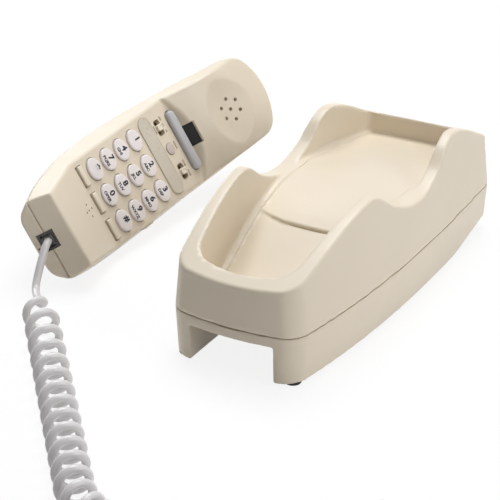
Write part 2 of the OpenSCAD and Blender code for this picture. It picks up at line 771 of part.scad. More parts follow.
pcb_z = 1.2;
pcb_t = 1.6;
pcb_y = [mic_y + 10, arc_apex + 1];
pcb_w = 2 * key_pitch_x + 10.4;
board_posts = [pcb_y[0] + 8, pcb_y[1] - 3];
board_post_x = 18;
module circuit_board() {
    color(board_c) on_handset() translate([-pcb_w / 2, pcb_y[0], pcb_z])
        cube([pcb_w, pcb_y[1] - pcb_y[0], pcb_t]);
}
mat_t = 1.2;
mat_pad_d = 7;
mat_top = inner_face - flange_gap - flange_t - key_travel - seat;
module key_mat() {
    color(grey_c) on_handset() {
        translate([0, keypad_y, pcb_z + pcb_t + mat_t / 2])
            cube([2 * key_pitch_x + mat_pad_d + 4, 3 * key_pitch_y + mat_pad_d + 5, mat_t],
                center = true);
        for (i = [0:11]) translate([key_place(i)[0], key_place(i)[1], pcb_z + pcb_t + mat_t - tiny])
            cylinder(d = mat_pad_d, h = mat_top - pcb_z - pcb_t - mat_t + tiny, $fn = 24);
    }
}
module key(i) {
    color(key_c) on_handset() translate([key_place(i)[0], key_place(i)[1], 0]) {
        translate([0, 0, inner_face - flange_gap]) oval(key_w, key_l, key_top - inner_face + flange_gap);
        translate([0, 0, inner_face - flange_gap - flange_t])
            oval(key_w + lip, key_l + 1.4 * lip, flange_t + tiny);
    }
}
module bar_button(s) {
    color(shell_c) on_handset() translate([s * bar_pitch, bar_y, 0]) {
        translate([-bar_w / 2, -bar_l / 2, inner_face - flange_gap - tiny])
            cube([bar_w, bar_l, face_h + 1.2 - inner_face + flange_gap]);
        translate([-bar_w / 2, -bar_l / 2 - lip, inner_face - flange_gap - flange_t])
            cube([bar_w, bar_l + lip, flange_t]);
    }
}
module round_button() {
    color(grey_c) on_handset() translate([0, switch_y, 0]) {
        translate([0, 0, inner_face - flange_gap - tiny])
            cylinder(d = round_d, h = face_h + 0.8 - inner_face + flange_gap, $fn = 32);
        translate([0, 0, inner_face - flange_gap - flange_t])
            cylinder(d = round_d + 2 * lip, h = flange_t, $fn = 32);
    }
}
module number_window() {
    color(grey_c) on_handset() translate([0, window_y, face_h - window_sunk])
        pill(window_w, window_l, window_sunk + 0.9);
}
module hook_bar() {
    color(grey_c) on_handset() translate([0, hook_y, 0]) {
        translate([0, 0, inner_face - flange_gap - tiny])
            pill(hook_w, hook_l, face_h + hook_proud - 1 - inner_face + flange_gap);
        translate([0, 0, face_h + hook_proud - 1 - tiny]) pill(hook_w - 1.6, hook_l - 1.6, 1);
        translate([0, 0, inner_face - flange_gap - flange_t])
            pill(hook_w + 2 * lip, hook_l + 2 * lip, flange_t);
    }
}
hook_switch_h = inner_face - flange_gap - flange_t - hook_travel - seat - pcb_z - pcb_t;
module hook_switch() {
    color(dark_c) on_handset() translate([-3, hook_y - 2.5, pcb_z + pcb_t])
        cube([6, 5, hook_switch_h]);
}
module hook_slot_liner() {
    color(dark_c) on_handset()
        translate([-liner_w / 2 + 0.1, slot_liner_y + 0.1, face_h - liner_sunk])
            intersection() {
                cube([liner_w - 0.2, liner_l - 0.2, 6]);
                rotate([45, 0, 0]) translate([-1, -20, -20]) cube([20, 40, 20.6]);
            }
}
knob_top = face_h + knob_proud;
knob_l = slot_l - 2 * slip;
module slide_knob(x) {
    color(shell_c) on_handset() translate([x, switch_y, 0]) {
        translate([-knob_w / 2, -knob_l / 2, switch_body_top + seat])
            cube([knob_w, knob_l, knob_top - switch_body_top - seat]);
    }
}
switch_body_top = inner_face - 1;
module switch_bodies() {
    color(dark_c) on_handset() for (x = switch_x)
        translate([x - slot_w / 2 - 1, switch_y - slot_l / 2 - 0.4, pcb_z + pcb_t])
            cube([slot_w + 2, slot_l + 0.8, switch_body_top - pcb_z - pcb_t]);
}
module volume_slider() {
    color(shell_c) on_handset()
        translate([slider_x - slider_depth, slider_y - slider_l / 2, slider_z - slider_w / 2])
            cube([slider_depth, slider_l, slider_w]);
}
receiver_d = 26;
receiver_t = 7;
receiver_y = ear_hole_y + 1;
receiver_top = ear_h - 8;
magnet_d = 16;
magnet_t = 3;
module receiver() {
    color(metal_c) on_handset() translate([0, receiver_y, receiver_top - receiver_t]) {
        cylinder(d = receiver_d, h = receiver_t - tiny, $fn = 64);
        translate([0, 0, -magnet_t]) cylinder(d = magnet_d, h = magnet_t, $fn = 48);
    }
}
module microphone() {
    color(metal_c) on_handset() translate([0, mic_y, mic_z[0]])
        cylinder(d = mic_d, h = mic_z[1] - mic_z[0], $fn = 40);
}
ringer_y = keypad_y + 24;
ringer_d = 27;
ringer_t = 3;
ringer_lift = 0.9;
function back_slope(y) = atan((back(y + 1) - back(y - 1)) / 2);
module ringer_disc() {
    color(metal_c) on_handset() translate([0, ringer_y, back(ringer_y) + hs_wall + ringer_lift])
        rotate([back_slope(ringer_y), 0, 0]) cylinder(d = ringer_d, h = ringer_t, $fn = 64);
}
weight_size = [30, 36, 5.2];
weight_lift = 1.2;
weight_y = keypad_y - 23;
module handset_weight() {
    color(metal_c) on_handset() translate([0, weight_y, back(weight_y) + hs_wall + weight_lift])
        rotate([back_slope(weight_y), 0, 0]) translate([0, 0, weight_size[2] / 2])
            cube(weight_size, center = true);
}
hs_jack_l = 13;
socket_w = 7.8;
socket_h = 6.8;
socket_l = 11;
jack_back_gap = 0.6;
module handset_jack() {
    color(dark_c) on_handset() on_mouth_end() translate([0, 0, jack_middle]) difference() {
        translate([-jack_cut_w / 2 + 0.2, jack_back_gap, -jack_cut_h / 2 + 0.2])
            cube([jack_cut_w - 0.4, hs_jack_l, jack_cut_h - 0.4]);
        translate([-socket_w / 2, 0, -socket_h / 2]) cube([socket_w, socket_l + jack_back_gap, socket_h]);
    }
}

// ---- cord ----

plug_w = 7.6;
plug_h = 6.6;
plug_l = 11.6;
// A four-way modular plug, its cord end at the origin, pointing along +Y
module plug_shape() {
    difference() {
        translate([-plug_w / 2, 0, -plug_h / 2]) cube([plug_w, plug_l, plug_h]);
        for (s = [-1.5, -0.5, 0.5, 1.5]) translate([s * 1.2 - 0.3, plug_l - 3.4, plug_h / 2 - 1.2])
            cube([0.6, 4, 2]);
        translate([-plug_w / 2 - 1, -1, -plug_h / 2 - 1]) cube([2.2, 4, plug_h + 2]);
        translate([plug_w / 2 - 1.2, -1, -plug_h / 2 - 1]) cube([2.2, 4, plug_h + 2]);
    }
}
plug_start = jack_back_gap + socket_l - plug_l - seat;
module handset_plug() {
    color(cord_c) on_handset() on_mouth_end() translate([0, plug_start, jack_middle]) plug_shape();
}

curl_z = curl_r + cord_d / 2 + 0.1;

// The axis of the curls on the table: a straight run, a turn, a straight run
axis_from = [-61.75, -105.7, curl_z];
axis_heading = -49;
axis_run = 180;
turn_r = 44;
turn_angle = 86;
turn_run = turn_r * turn_angle * PI / 180;
function axis_at(s) = let (
    a = axis_heading,
    p1 = axis_from + axis_run * [cos(a), sin(a), 0],
    c = p1 + turn_r * [cos(a + 90), sin(a + 90), 0],
    b = (s - axis_run) / turn_r * 180 / PI,
    e = a + turn_angle,
    p2 = c + turn_r * [cos(e - 90), sin(e - 90), 0])
    s < axis_run ? [axis_from + s * [cos(a), sin(a), 0], a]
    : s < axis_run + turn_run ? [c + turn_r * [cos(a + b - 90), sin(a + b - 90), 0], a + b]
    : [p2 + (s - axis_run - turn_run) * [cos(e), sin(e), 0], e];

// The lead from the plug down to the table and into the curls
lead_points = [[-70.58, -81.35, 26.9], [-69.9, -82.95, 27.15], [-69.3, -84.9, 26.7],
    [-68.8, -87.2, 25.1], [-68.3, -89.9, 22.2],
    [-67.7, -93.3, 18.6], [-67.1, -96.1, 15.2], [-66.4, -98.8, 12.2], [-65.3, -101.2, 10.1],
    axis_at(-3)[0], axis_at(0)[0]];

// How far along the axis the cord is after t curls
first_settle = 3;
last_curls = 1.5;
function drawn(t) = let (u = min(t, open_curls), v = max(0, t - open_curls),
    w = max(0, t - curls + last_curls) / last_curls)
    open_pitch * u + first_stretch * (1 - exp(-t / first_settle)) + slack_pitch * v
    + last_stretch * w * w;
cord_stub = cord_d * 1.2;
rings_per_curl = 8;
function curl_grow(t) = ease(t / 0.9) * ease((curls - t) / 0.9);
function curl_point(t) = let (q = axis_at(cord_stub + drawn(t)), r = curl_r * curl_grow(t),
    a = -360 * t - 60)
    q[0] + r * [cos(a) * sin(q[1]), -cos(a) * cos(q[1]), sin(a)];
coil_length = 2 * cord_stub + drawn(curls);
coil_points = concat([axis_at(0)[0], axis_at(cord_stub * 0.9)[0]],
    [for (k = [1:curls * rings_per_curl - 1]) curl_point(k / rings_per_curl)],
    [axis_at(coil_length - cord_stub * 0.9)[0], axis_at(coil_length)[0]]);

// The least distance between points a half turn or more apart, less the cord itself
check_step = 24;
check_points = [for (k = [0:curls * check_step]) curl_point(k / check_step)];
coil_gap = min([for (k = [0:len(check_points) - 1 - check_step / 2])
    for (j = [k + check_step / 2:min(len(check_points) - 1, k + check_step * 3 / 2)])
        norm(check_points[k] - check_points[j])]) - cord_d;
echo(least_gap_between_curls_mm = coil_gap);

tail_turn = axis_heading + turn_angle;
tail_from = axis_at(coil_length)[0];
function tail_point(along, z) = [tail_from[0] + along * cos(tail_turn),
    tail_from[1] + along * sin(tail_turn), z];
tail_points = [tail_from, tail_point(5, curl_z), tail_point(11, 7.2), tail_point(17, 4.9),
    tail_point(23, 3.7), tail_point(29, 3.4), tail_point(35, 3.4)];

function unit(v) = v / norm(v);
// Rings along a route, each turned from the last one with the least twist
function tangent(p, i) = let (n = len(p)) i == 0 ? unit(p[1] - p[0])
    : i == n - 1 ? unit(p[n - 1] - p[n - 2])
    : unit(unit(p[i] - p[i - 1]) + unit(p[i + 1] - p[i]));
function across(v, t) = unit(v - (v * t) * t);
function frames(p, i, v) = i == len(p) ? []
    : let (t = tangent(p, i), n = across(v, t)) concat([[p[i], n, cross(t, n)]],
        frames(p, i + 1, n));
module tube(points, d, sides) {
    f = frames(points, 0, [0.3, 0.2, 1]);
    rings = [for (q = f) for (k = [0:sides - 1])
        q[0] + d / 2 * (cos(k * 360 / sides) * q[1] + sin(k * 360 / sides) * q[2])];
    n = len(points);
    wall = [for (i = [0:n - 2]) for (k = [0:sides - 1]) let (a = i * sides + k,
        b = i * sides + (k + 1) % sides) each [[a, b, a + sides], [b, b + sides, a + sides]]];
    first = [for (k = [1:sides - 2]) [0, k + 1, k]];
    last = [for (k = [1:sides - 2]) let (o = (n - 1) * sides) [o, o + k, o + k + 1]];
    polyhedron(rings, [for (t = concat(wall, first, last)) [t[2], t[1], t[0]]], convexity = 10);
}
module handset_lead() {
    color(cord_c) tube(lead_points, cord_d, 8);
}
module curly_cord() {
    color(cord_c) tube(coil_points, cord_d, 6);
}
module base_lead() {
    color(cord_c) tube(tail_points, cord_d, 8);
}
module base_plug() {
    color(cord_c) translate(tail_point(35, 3.4)) rotate([0, 0, tail_turn - 90]) plug_shape();
}

base_cover();
base_bottom();
base_feet();
base_screws();
base_ballast();
base_jack_board();
base_handset_jack();
base_line_jack();
handset_front();
handset_back();
handset_screws();
number_window();
hook_bar();
hook_switch();
hook_slot_liner();
slide_knob(switch_x[0]);  // ringer_knob
slide_knob(switch_x[1]);  // dialling_knob
switch_bodies();
round_button();
volume_slider();
key_mat();
circuit_board();
receiver();
microphone();
ringer_disc();
handset_weight();
handset_jack();
key(0);  // key_1
key(1);  // key_2
key(2);  // key_3
key(3);  // key_4
key(4);  // key_5
key(5);  // key_6
key(6);  // key_7
key(7);  // key_8
key(8);  // key_9
key(9);  // key_star
key(10);  // key_0
key(11);  // key_pound
bar_button(-1);  // bar_button_1
bar_button(0);  // bar_button_2
bar_button(1);  // bar_button_3
handset_plug();
handset_lead();
curly_cord();
base_lead();
base_plug();
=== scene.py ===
# Corded landline telephone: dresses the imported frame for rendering.
# Shapes are worked out in millimetres and written to meshes in metres.
import math
import bpy
import numpy as np
from mathutils import Matrix, Vector


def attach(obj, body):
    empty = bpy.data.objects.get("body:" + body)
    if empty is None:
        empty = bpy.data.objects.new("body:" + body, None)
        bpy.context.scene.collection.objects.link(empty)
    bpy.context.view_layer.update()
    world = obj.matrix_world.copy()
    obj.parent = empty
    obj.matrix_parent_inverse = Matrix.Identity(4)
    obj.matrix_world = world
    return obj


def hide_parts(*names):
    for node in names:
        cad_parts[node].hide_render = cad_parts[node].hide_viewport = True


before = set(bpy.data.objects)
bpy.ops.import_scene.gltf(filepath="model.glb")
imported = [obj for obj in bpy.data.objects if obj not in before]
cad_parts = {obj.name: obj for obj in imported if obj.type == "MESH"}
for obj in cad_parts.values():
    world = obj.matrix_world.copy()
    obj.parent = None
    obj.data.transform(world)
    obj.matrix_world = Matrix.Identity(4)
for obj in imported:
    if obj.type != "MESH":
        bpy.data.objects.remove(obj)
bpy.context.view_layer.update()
MM = 0.001

# ---- camera ----

scene = bpy.context.scene
scene.view_settings.view_transform = "Standard"
CAMERA_AT = Vector((0.42594, -0.74101, 0.42849))
CAMERA_RIGHT = Vector((0.8694, 0.4942, 0.0))
CAMERA_UP = Vector((-0.21985, 0.38672, 0.89561))
CAMERA_BACK = Vector((0.44263, -0.77859, 0.44484))
camera_data = bpy.data.cameras.new("camera")
camera_data.lens = 125.41
camera_data.sensor_width = 36
camera = bpy.data.objects.new("camera", camera_data)
scene.collection.objects.link(camera)
pose = Matrix((CAMERA_RIGHT, CAMERA_UP, CAMERA_BACK)).transposed().to_4x4()
pose.translation = CAMERA_AT
camera.matrix_world = pose
scene.camera = camera

# ---- materials ----


def new_material(name):
    material = bpy.data.materials.new(name)
    material.use_nodes = True
    tree = material.node_tree
    return material, tree, tree.nodes["Principled BSDF"]


def noise(tree, scale, detail=3.0, stretch=(1, 1, 1)):
    coords = tree.nodes.new("ShaderNodeTexCoord")
    mapping = tree.nodes.new("ShaderNodeMapping")
    mapping.inputs["Scale"].default_value = stretch
    texture = tree.nodes.new("ShaderNodeTexNoise")
    texture.inputs["Scale"].default_value = scale
    texture.inputs["Detail"].default_value = detail
    tree.links.new(coords.outputs["Object"], mapping.inputs["Vector"])
    tree.links.new(mapping.outputs["Vector"], texture.inputs["Vector"])
    return texture.outputs["Fac"]


def ramp(tree, value, low, high, start=0.3, end=0.7):
    node = tree.nodes.new("ShaderNodeMapRange")
    node.inputs["From Min"].default_value = start
    node.inputs["From Max"].default_value = end
    node.inputs["To Min"].default_value = low
    node.inputs["To Max"].default_value = high
    tree.links.new(value, node.inputs["Value"])
    return node.outputs["Result"]


def mix_colour(tree, value, a, b):
    node = tree.nodes.new("ShaderNodeMix")
    node.data_type = "RGBA"
    node.inputs["A"].default_value = (*a, 1)
    node.inputs["B"].default_value = (*b, 1)
    tree.links.new(value, node.inputs["Factor"])
    return node.outputs["Result"]


def plastic(name, colour, rough, grain=0.0, grain_size=0.35, tone=0.04, gloss=0.0, metal=0.0,
            stretch=(1, 1, 1), see_through=0.0):
    """Moulded plastic, rubber or metal: uneven tone, uneven gloss and a fine moulded grain (mm)."""
    material, tree, shader = new_material(name)
    shade = noise(tree, 18.0, 4.0, stretch)
    dark = tuple(c * (1 - tone) for c in colour)
    light = tuple(min(1.0, c * (1 + tone)) for c in colour)
    tree.links.new(mix_colour(tree, ramp(tree, shade, 0, 1), dark, light),
                   shader.inputs["Base Color"])
    wear = noise(tree, 90.0, 5.0, stretch)
    tree.links.new(ramp(tree, wear, rough - 0.05, rough + 0.07), shader.inputs["Roughness"])
    shader.inputs["Metallic"].default_value = metal
    shader.inputs["Coat Weight"].default_value = gloss
    shader.inputs["Coat Roughness"].default_value = 0.18
    shader.inputs["Transmission Weight"].default_value = see_through
    if grain:
        bump = tree.nodes.new("ShaderNodeBump")
        bump.inputs["Strength"].default_value = grain
        bump.inputs["Distance"].default_value = 0.05 * MM
        tree.links.new(noise(tree, 1 / (grain_size * MM), 2.0, stretch), bump.inputs["Height"])
        tree.links.new(bump.outputs["Normal"], shader.inputs["Normal"])
    return material


IVORY = plastic("ivory_abs", (0.745, 0.66, 0.53), 0.40, grain=0.22, gloss=0.10, tone=0.02)
KNOB = plastic("knob_ivory", (0.84, 0.77, 0.64), 0.36, grain=0.1, gloss=0.1)
KEY_GREY = plastic("key_lavender", (0.84, 0.785, 0.79), 0.34, grain=0.15, gloss=0.2, tone=0.03)
PRINT = plastic("key_print", (0.02, 0.02, 0.025), 0.5)
BAR_CREAM = plastic("bar_cream", (0.82, 0.74, 0.61), 0.34, grain=0.1, gloss=0.12)
WINDOW = plastic("window_grey", (0.62, 0.56, 0.47), 0.30, grain=0.05, gloss=0.2)
HOOK_GREY = plastic("hook_grey", (0.50, 0.50, 0.52), 0.36, grain=0.15, gloss=0.12)
PINK_GREY = plastic("button_rubber", (0.60, 0.51, 0.47), 0.55, grain=0.3)
OLIVE_DARK = plastic("slot_olive", (0.26, 0.20, 0.12), 0.5, grain=0.2)
WORDS = plastic("printed_words", (0.20, 0.15, 0.10), 0.5)
# near-black: the real black of the hook switch and the board's parts, and painted shade on the slot
# liner, which stands in for the shade inside the slot beside the hook bar
BLACK_AND_SLOT_SHADE = plastic("slot_black", (0.006, 0.005, 0.005), 0.7, grain=0.2)
JACK_DARK = plastic("jack_nylon", (0.045, 0.033, 0.030), 0.32, grain=0.15, gloss=0.2)
RUBBER = plastic("foot_rubber", (0.018, 0.018, 0.018), 0.75, grain=0.6, grain_size=0.5)
STEEL = plastic("zinc_steel", (0.56, 0.56, 0.58), 0.32, grain=0.2, metal=1.0, stretch=(1, 14, 1))
CAN = plastic("drawn_can", (0.66, 0.66, 0.68), 0.28, grain=0.1, metal=1.0)
BRASS = plastic("thin_brass", (0.66, 0.46, 0.18), 0.3, grain=0.1, metal=1.0)
BOARD = plastic("phenolic_board", (0.24, 0.16, 0.06), 0.5, grain=0.4, stretch=(1, 6, 1))
MAT = plastic("silicone_mat", (0.42, 0.42, 0.44), 0.6, grain=0.3)
CORD = plastic("pvc_cord", (0.68, 0.665, 0.67), 0.3, grain=0.1, gloss=0.25, tone=0.03)
PLUG_CLEAR = plastic("plug_clear", (0.62, 0.62, 0.62), 0.12, see_through=0.92)
CONTACT = plastic("contact_gold", (0.85, 0.62, 0.22), 0.25, metal=1.0)

# ---- curves shared with the solids ----


class Curve:
    """A smooth line through knots of place, value and slope."""

    def __init__(self, knots):
        self.x, self.v, self.s = (np.array(c, float) for c in zip(*knots))

    def __call__(self, x):
        x = np.asarray(x, float)
        i = np.clip(np.searchsorted(self.x, x, side="right") - 1, 0, len(self.x) - 2)
        h = self.x[i + 1] - self.x[i]
        t = (x - self.x[i]) / h
        t2, t3 = t * t, t * t * t
        return ((2 * t3 - 3 * t2 + 1) * self.v[i] + (t3 - 2 * t2 + t) * h * self.s[i]
                + (3 * t2 - 2 * t3) * self.v[i + 1] + (t3 - t2) * h * self.s[i + 1])


def sin(a):
    return math.sin(math.radians(a))


def cos(a):
    return math.cos(math.radians(a))


def round_max(a, b, r):
    """The overlap of two solids, with the edge between them rounded."""
    return np.minimum(-r, np.maximum(a, b)) + np.hypot(np.maximum(a + r, 0), np.maximum(b + r, 0))


def round_min(a, b, r):
    """Two solids joined, with the corner between them filled."""
    return -round_max(-a, -b, r)


# ---- mesh making ----

SHELL_SHARP = 48  # degrees: a shell's edges sharper than this stay crisp


def add_object(name, mesh, material, smooth_angle=None):
    mesh.materials.append(material)
    piece = bpy.data.objects.new(name, mesh)
    scene.collection.objects.link(piece)
    if smooth_angle is not None:
        mesh.polygons.foreach_set("use_smooth", [True] * len(mesh.polygons))
        mesh.set_sharp_from_angle(angle=math.radians(smooth_angle))
    return piece


def mesh_from(name, points, faces):
    mesh = bpy.data.meshes.new(name)
    mesh.from_pydata([tuple(float(c) * MM for c in p) for p in points], [],
                     [tuple(int(i) for i in f) for f in faces])
    mesh.validate()
    mesh.update()
    return mesh


def quad_mesh(name, points, quads):
    """A mesh straight from arrays, for the many points of a shell."""
    mesh = bpy.data.meshes.new(name)
    mesh.vertices.add(len(points))
    mesh.vertices.foreach_set("co", (points * MM).astype(np.float32).ravel())
    mesh.loops.add(quads.size)
    mesh.loops.foreach_set("vertex_index", quads.astype(np.int32).ravel())
    mesh.polygons.add(len(quads))
    mesh.polygons.foreach_set("loop_start", np.arange(0, quads.size, 4, dtype=np.int32))
    mesh.update(calc_edges=True)
    mesh.validate()
    return mesh


def surface(name, field, low, high, cell):
    """The surface where field(x, y, z) is 0, as quads whose corners lie on it."""
    low, high = np.array(low, float), np.array(high, float)
    count = np.ceil((high - low) / cell).astype(int) + 1
    axes = [low[i] + cell * np.arange(count[i]) for i in range(3)]
    x, y, z = np.meshgrid(*axes, indexing="ij", sparse=True)
    value = np.broadcast_to(field(x, y, z), tuple(count)).astype(np.float64)
    inside = value < 0
    total = np.zeros(tuple(count - 1) + (3,))
    hits = np.zeros(tuple(count - 1))
    crossings = []
    for axis in range(3):
        first = [slice(None)] * 3
        second = [slice(None)] * 3
        first[axis], second[axis] = slice(None, -1), slice(1, None)
        a, b = value[tuple(first)], value[tuple(second)]
        cross = inside[tuple(first)] != inside[tuple(second)]
        where = np.argwhere(cross)
        crossings.append((axis, where, inside[tuple(first)][cross]))
        share = a[cross] / (a[cross] - b[cross])
        at = where.astype(float)
        at[:, axis] += share
        others = [k for k in range(3) if k != axis]
        for da in (0, 1):
            for db in (0, 1):
                cells = where.copy()
                cells[:, others[0]] -= da
                cells[:, others[1]] -= db
                ok = ((cells >= 0) & (cells < count - 1)).all(1)
                index = tuple(cells[ok].T)
                np.add.at(total, index, at[ok])
                np.add.at(hits, index, 1)
    used = hits > 0
    number = -np.ones(hits.shape, int)
    number[used] = np.arange(used.sum())
    points = low + cell * total[used] / hits[used][:, None]
    step = 0.02
    for _ in range(4):
        here = field(*points.T)
        slope = np.stack([(field(*(points + step * e).T) - here) / step for e in np.eye(3)], 1)
        move = -(here / np.maximum((slope ** 2).sum(1), 0.05))[:, None] * slope
        points = points + np.clip(move, -0.5 * cell, 0.5 * cell)
    quads = []
    for axis, where, first_inside in crossings:
        u, v = (axis + 1) % 3, (axis + 2) % 3
        corner = []
        keep = np.ones(len(where), bool)
        for du, dv in ((1, 1), (0, 1), (0, 0), (1, 0)):
            cells = where.copy()
            cells[:, u] -= du
            cells[:, v] -= dv
            ok = ((cells >= 0) & (cells < count - 1)).all(1)
            keep &= ok
            cells[~ok] = 0
            corner.append(number[tuple(cells.T)])
        quad = np.stack(corner, 1)
        quad[~first_inside] = quad[~first_inside][:, ::-1]
        quads.append(quad[keep])
    return quad_mesh(name, points, np.concatenate(quads))


def prism(name, outline, low, high):
    """A closed upright prism, used to cut holes."""
    n = len(outline)
    points = [(x, y, low) for x, y in outline] + [(x, y, high) for x, y in outline]
    faces = [tuple(range(n - 1, -1, -1)), tuple(range(n, 2 * n))]
    faces += [(i, (i + 1) % n, n + (i + 1) % n, n + i) for i in range(n)]
    return mesh_from(name, points, faces)


def oval_outline(w, l, x=0.0, y=0.0, n=48):
    return [(x + w / 2 * math.cos(2 * math.pi * i / n), y + l / 2 * math.sin(2 * math.pi * i / n))
            for i in range(n)]


def pill_outline(w, l, x=0.0, y=0.0, n=12):
    side = (w - l) / 2
    right = [(x + side + l / 2 * math.sin(math.pi * i / n), y - l / 2 * math.cos(math.pi * i / n))
             for i in range(n + 1)]
    left = [(x - side - l / 2 * math.sin(math.pi * i / n), y + l / 2 * math.cos(math.pi * i / n))
            for i in range(n + 1)]
    return right + left


def box_outline(w, l, x=0.0, y=0.0, r=0.3):
    points = []
    for sx, sy, start in ((1, -1, -90), (1, 1, 0), (-1, 1, 90), (-1, -1, 180)):
        for k in range(4):
            a = math.radians(start + 30 * k)
            points.append((x + sx * (w / 2 - r) + r * math.cos(a),
                           y + sy * (l / 2 - r) + r * math.sin(a)))
    return points


def cut(piece, meshes, operation="DIFFERENCE"):
    """Cuts closed meshes out of a piece, or adds them, one after another."""
    for mesh in meshes:
        tool = bpy.data.objects.new("cutter", mesh)
        scene.collection.objects.link(tool)
        modifier = piece.modifiers.new("cut", "BOOLEAN")
        modifier.operation = operation
        modifier.solver = "MANIFOLD"
        modifier.object = tool
        graph = bpy.context.evaluated_depsgraph_get()
        result = bpy.data.meshes.new_from_object(piece.evaluated_get(graph))
        piece.modifiers.clear()
        old = piece.data
        piece.data = result
        bpy.data.meshes.remove(old)
        bpy.data.objects.remove(tool)


def joined_mesh(name, meshes):
    """One mesh of several that don't touch."""
    points, faces = [], []
    for mesh in meshes:
        start = len(points)
        points += [tuple(c / MM for c in v.co) for v in mesh.vertices]
        faces += [tuple(start + i for i in p.vertices) for p in mesh.polygons]
        bpy.data.meshes.remove(mesh)
    return mesh_from(name, points, faces)


def loft(name, rings):
    """A closed body through rings of equally many points, from the lowest to the highest."""
    points = [p for ring in rings for p in ring]
    n = len(rings[0])
    faces = []
    for k in range(len(rings) - 1):
        for i in range(n):
            a, b = k * n + i, k * n + (i + 1) % n
            faces.append((a, b, b + n, a + n))
    faces.append(tuple(range(n - 1, -1, -1)))
    faces.append(tuple(range((len(rings) - 1) * n, len(rings) * n)))
    return mesh_from(name, points, faces)


# ---- cord: a lead from the plug, the curls, and a lead to the free plug ----

CORD_LENGTH, CORD_D, CURL_R, CURLS = 1783, 4.2, 7.1, 38
OPEN_CURLS, OPEN_PITCH, SLACK_PITCH = 15, 11.5, 5.7
FIRST_STRETCH, FIRST_SETTLE, LAST_STRETCH, LAST_CURLS = 27.0, 3.0, 12.0, 1.5
CURL_GROWS, CURL_START = 0.9, -60
CORD_SIDES, PER_CURL, LEAD_STEPS = 12, 24, 5
curl_z = CURL_R + CORD_D / 2 + 0.1
axis_from = np.array((-61.75, -105.7, curl_z))
axis_heading, axis_run, turn_r, turn_angle = -49.0, 180.0, 44.0, 86.0
turn_run = turn_r * math.radians(turn_angle)
cord_stub = CORD_D * 1.2


def axis_at(s):
    """The place and heading of the curls' middle line, s along it."""
    a, e = axis_heading, axis_heading + turn_angle
    first = axis_from + axis_run * np.array((cos(a), sin(a), 0))
    centre = first + turn_r * np.array((cos(a + 90), sin(a + 90), 0))
    if s < axis_run:
        return axis_from + s * np.array((cos(a), sin(a), 0)), a
    if s < axis_run + turn_run:
        b = math.degrees((s - axis_run) / turn_r)
        return centre + turn_r * np.array((cos(a + b - 90), sin(a + b - 90), 0)), a + b
    second = centre + turn_r * np.array((cos(e - 90), sin(e - 90), 0))
    return second + (s - axis_run - turn_run) * np.array((cos(e), sin(e), 0)), e


def drawn(t):
    """How far along the middle line curl t is."""
    return (OPEN_PITCH * min(t, OPEN_CURLS) + FIRST_STRETCH * (1 - math.exp(-t / FIRST_SETTLE))
            + SLACK_PITCH * max(0, t - OPEN_CURLS)
            + LAST_STRETCH * (max(0, t - CURLS + LAST_CURLS) / LAST_CURLS) ** 2)


def ease(t):
    c = max(0.0, min(1.0, t))
    return c * c * (3 - 2 * c)


def curl_point(t):
    at, heading = axis_at(cord_stub + drawn(t))
    r = CURL_R * ease(t / CURL_GROWS) * ease((CURLS - t) / CURL_GROWS)
    a = CURL_START - 360 * t
    return at + r * np.array((cos(a) * sin(heading), -cos(a) * cos(heading), sin(a)))


def smooth_through(points, steps):
    """A smooth line through the points, passing each one."""
    p = [2 * points[0] - points[1], *points, 2 * points[-1] - points[-2]]
    line = []
    for i in range(1, len(p) - 2):
        for k in range(steps):
            t = k / steps
            line.append(0.5 * (2 * p[i] + (p[i + 1] - p[i - 1]) * t
                               + (2 * p[i - 1] - 5 * p[i] + 4 * p[i + 1] - p[i + 2]) * t * t
                               + (3 * p[i] - p[i - 1] - 3 * p[i + 1] + p[i + 2]) * t ** 3))
    return line + [points[-1]]


near_curls = cord_stub * 0.9
lead = [np.array(p, float) for p in (
    (-70.58, -81.35, 26.9), (-69.9, -82.95, 27.15), (-69.3, -84.9, 26.7), (-68.8, -87.2, 25.1),
    (-68.3, -89.9, 22.2), (-67.7, -93.3, 18.6), (-67.1, -96.1, 15.2), (-66.4, -98.8, 12.2),
    (-65.3, -101.2, 10.1))]
lead += [axis_at(s)[0] for s in (-3, 0, near_curls)]
coil_length = 2 * cord_stub + drawn(CURLS)
tail_turn = axis_heading + turn_angle
tail_from = axis_at(coil_length)[0]
tail = [axis_at(coil_length - near_curls)[0]]
tail += [np.array((tail_from[0] + s * cos(tail_turn), tail_from[1] + s * sin(tail_turn), z))
         for s, z in ((0, curl_z), (5, curl_z), (11, 7.2), (17, 4.9), (23, 3.7), (29, 3.4),
                      (35, 3.4))]
route = smooth_through(lead, LEAD_STEPS)
route += [curl_point(k / PER_CURL) for k in range(2, CURLS * PER_CURL - 1)]
route += smooth_through(tail, LEAD_STEPS)


def tube(name, path, d, sides):
    """A round tube along a path, without twist."""
    path = np.array(path)
    ahead = np.gradient(path, axis=0)
    ahead /= np.linalg.norm(ahead, axis=1)[:, None]
    up = np.array((0.3, 0.2, 1.0))
    rings = []
    for at, direction in zip(path, ahead):
        up = up - direction * (up @ direction)
        up /= np.linalg.norm(up)
        side = np.cross(direction, up)
        rings.append([at + d / 2 * (cos(360 * k / sides) * up + sin(360 * k / sides) * side)
                      for k in range(sides)])
    return loft(name, rings)


cord = add_object("cord_and_leads", tube("cord_and_leads", route, CORD_D, CORD_SIDES), CORD, 60)
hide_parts("handset_lead", "curly_cord", "base_lead")
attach(cord, "handset")
[float(c) * MM for c in route[0]]
[[float(c) * MM for c in p] for p in route]

# ---- handset: its own axes, X across, Y from mouthpiece to ear, Z out of the face ----

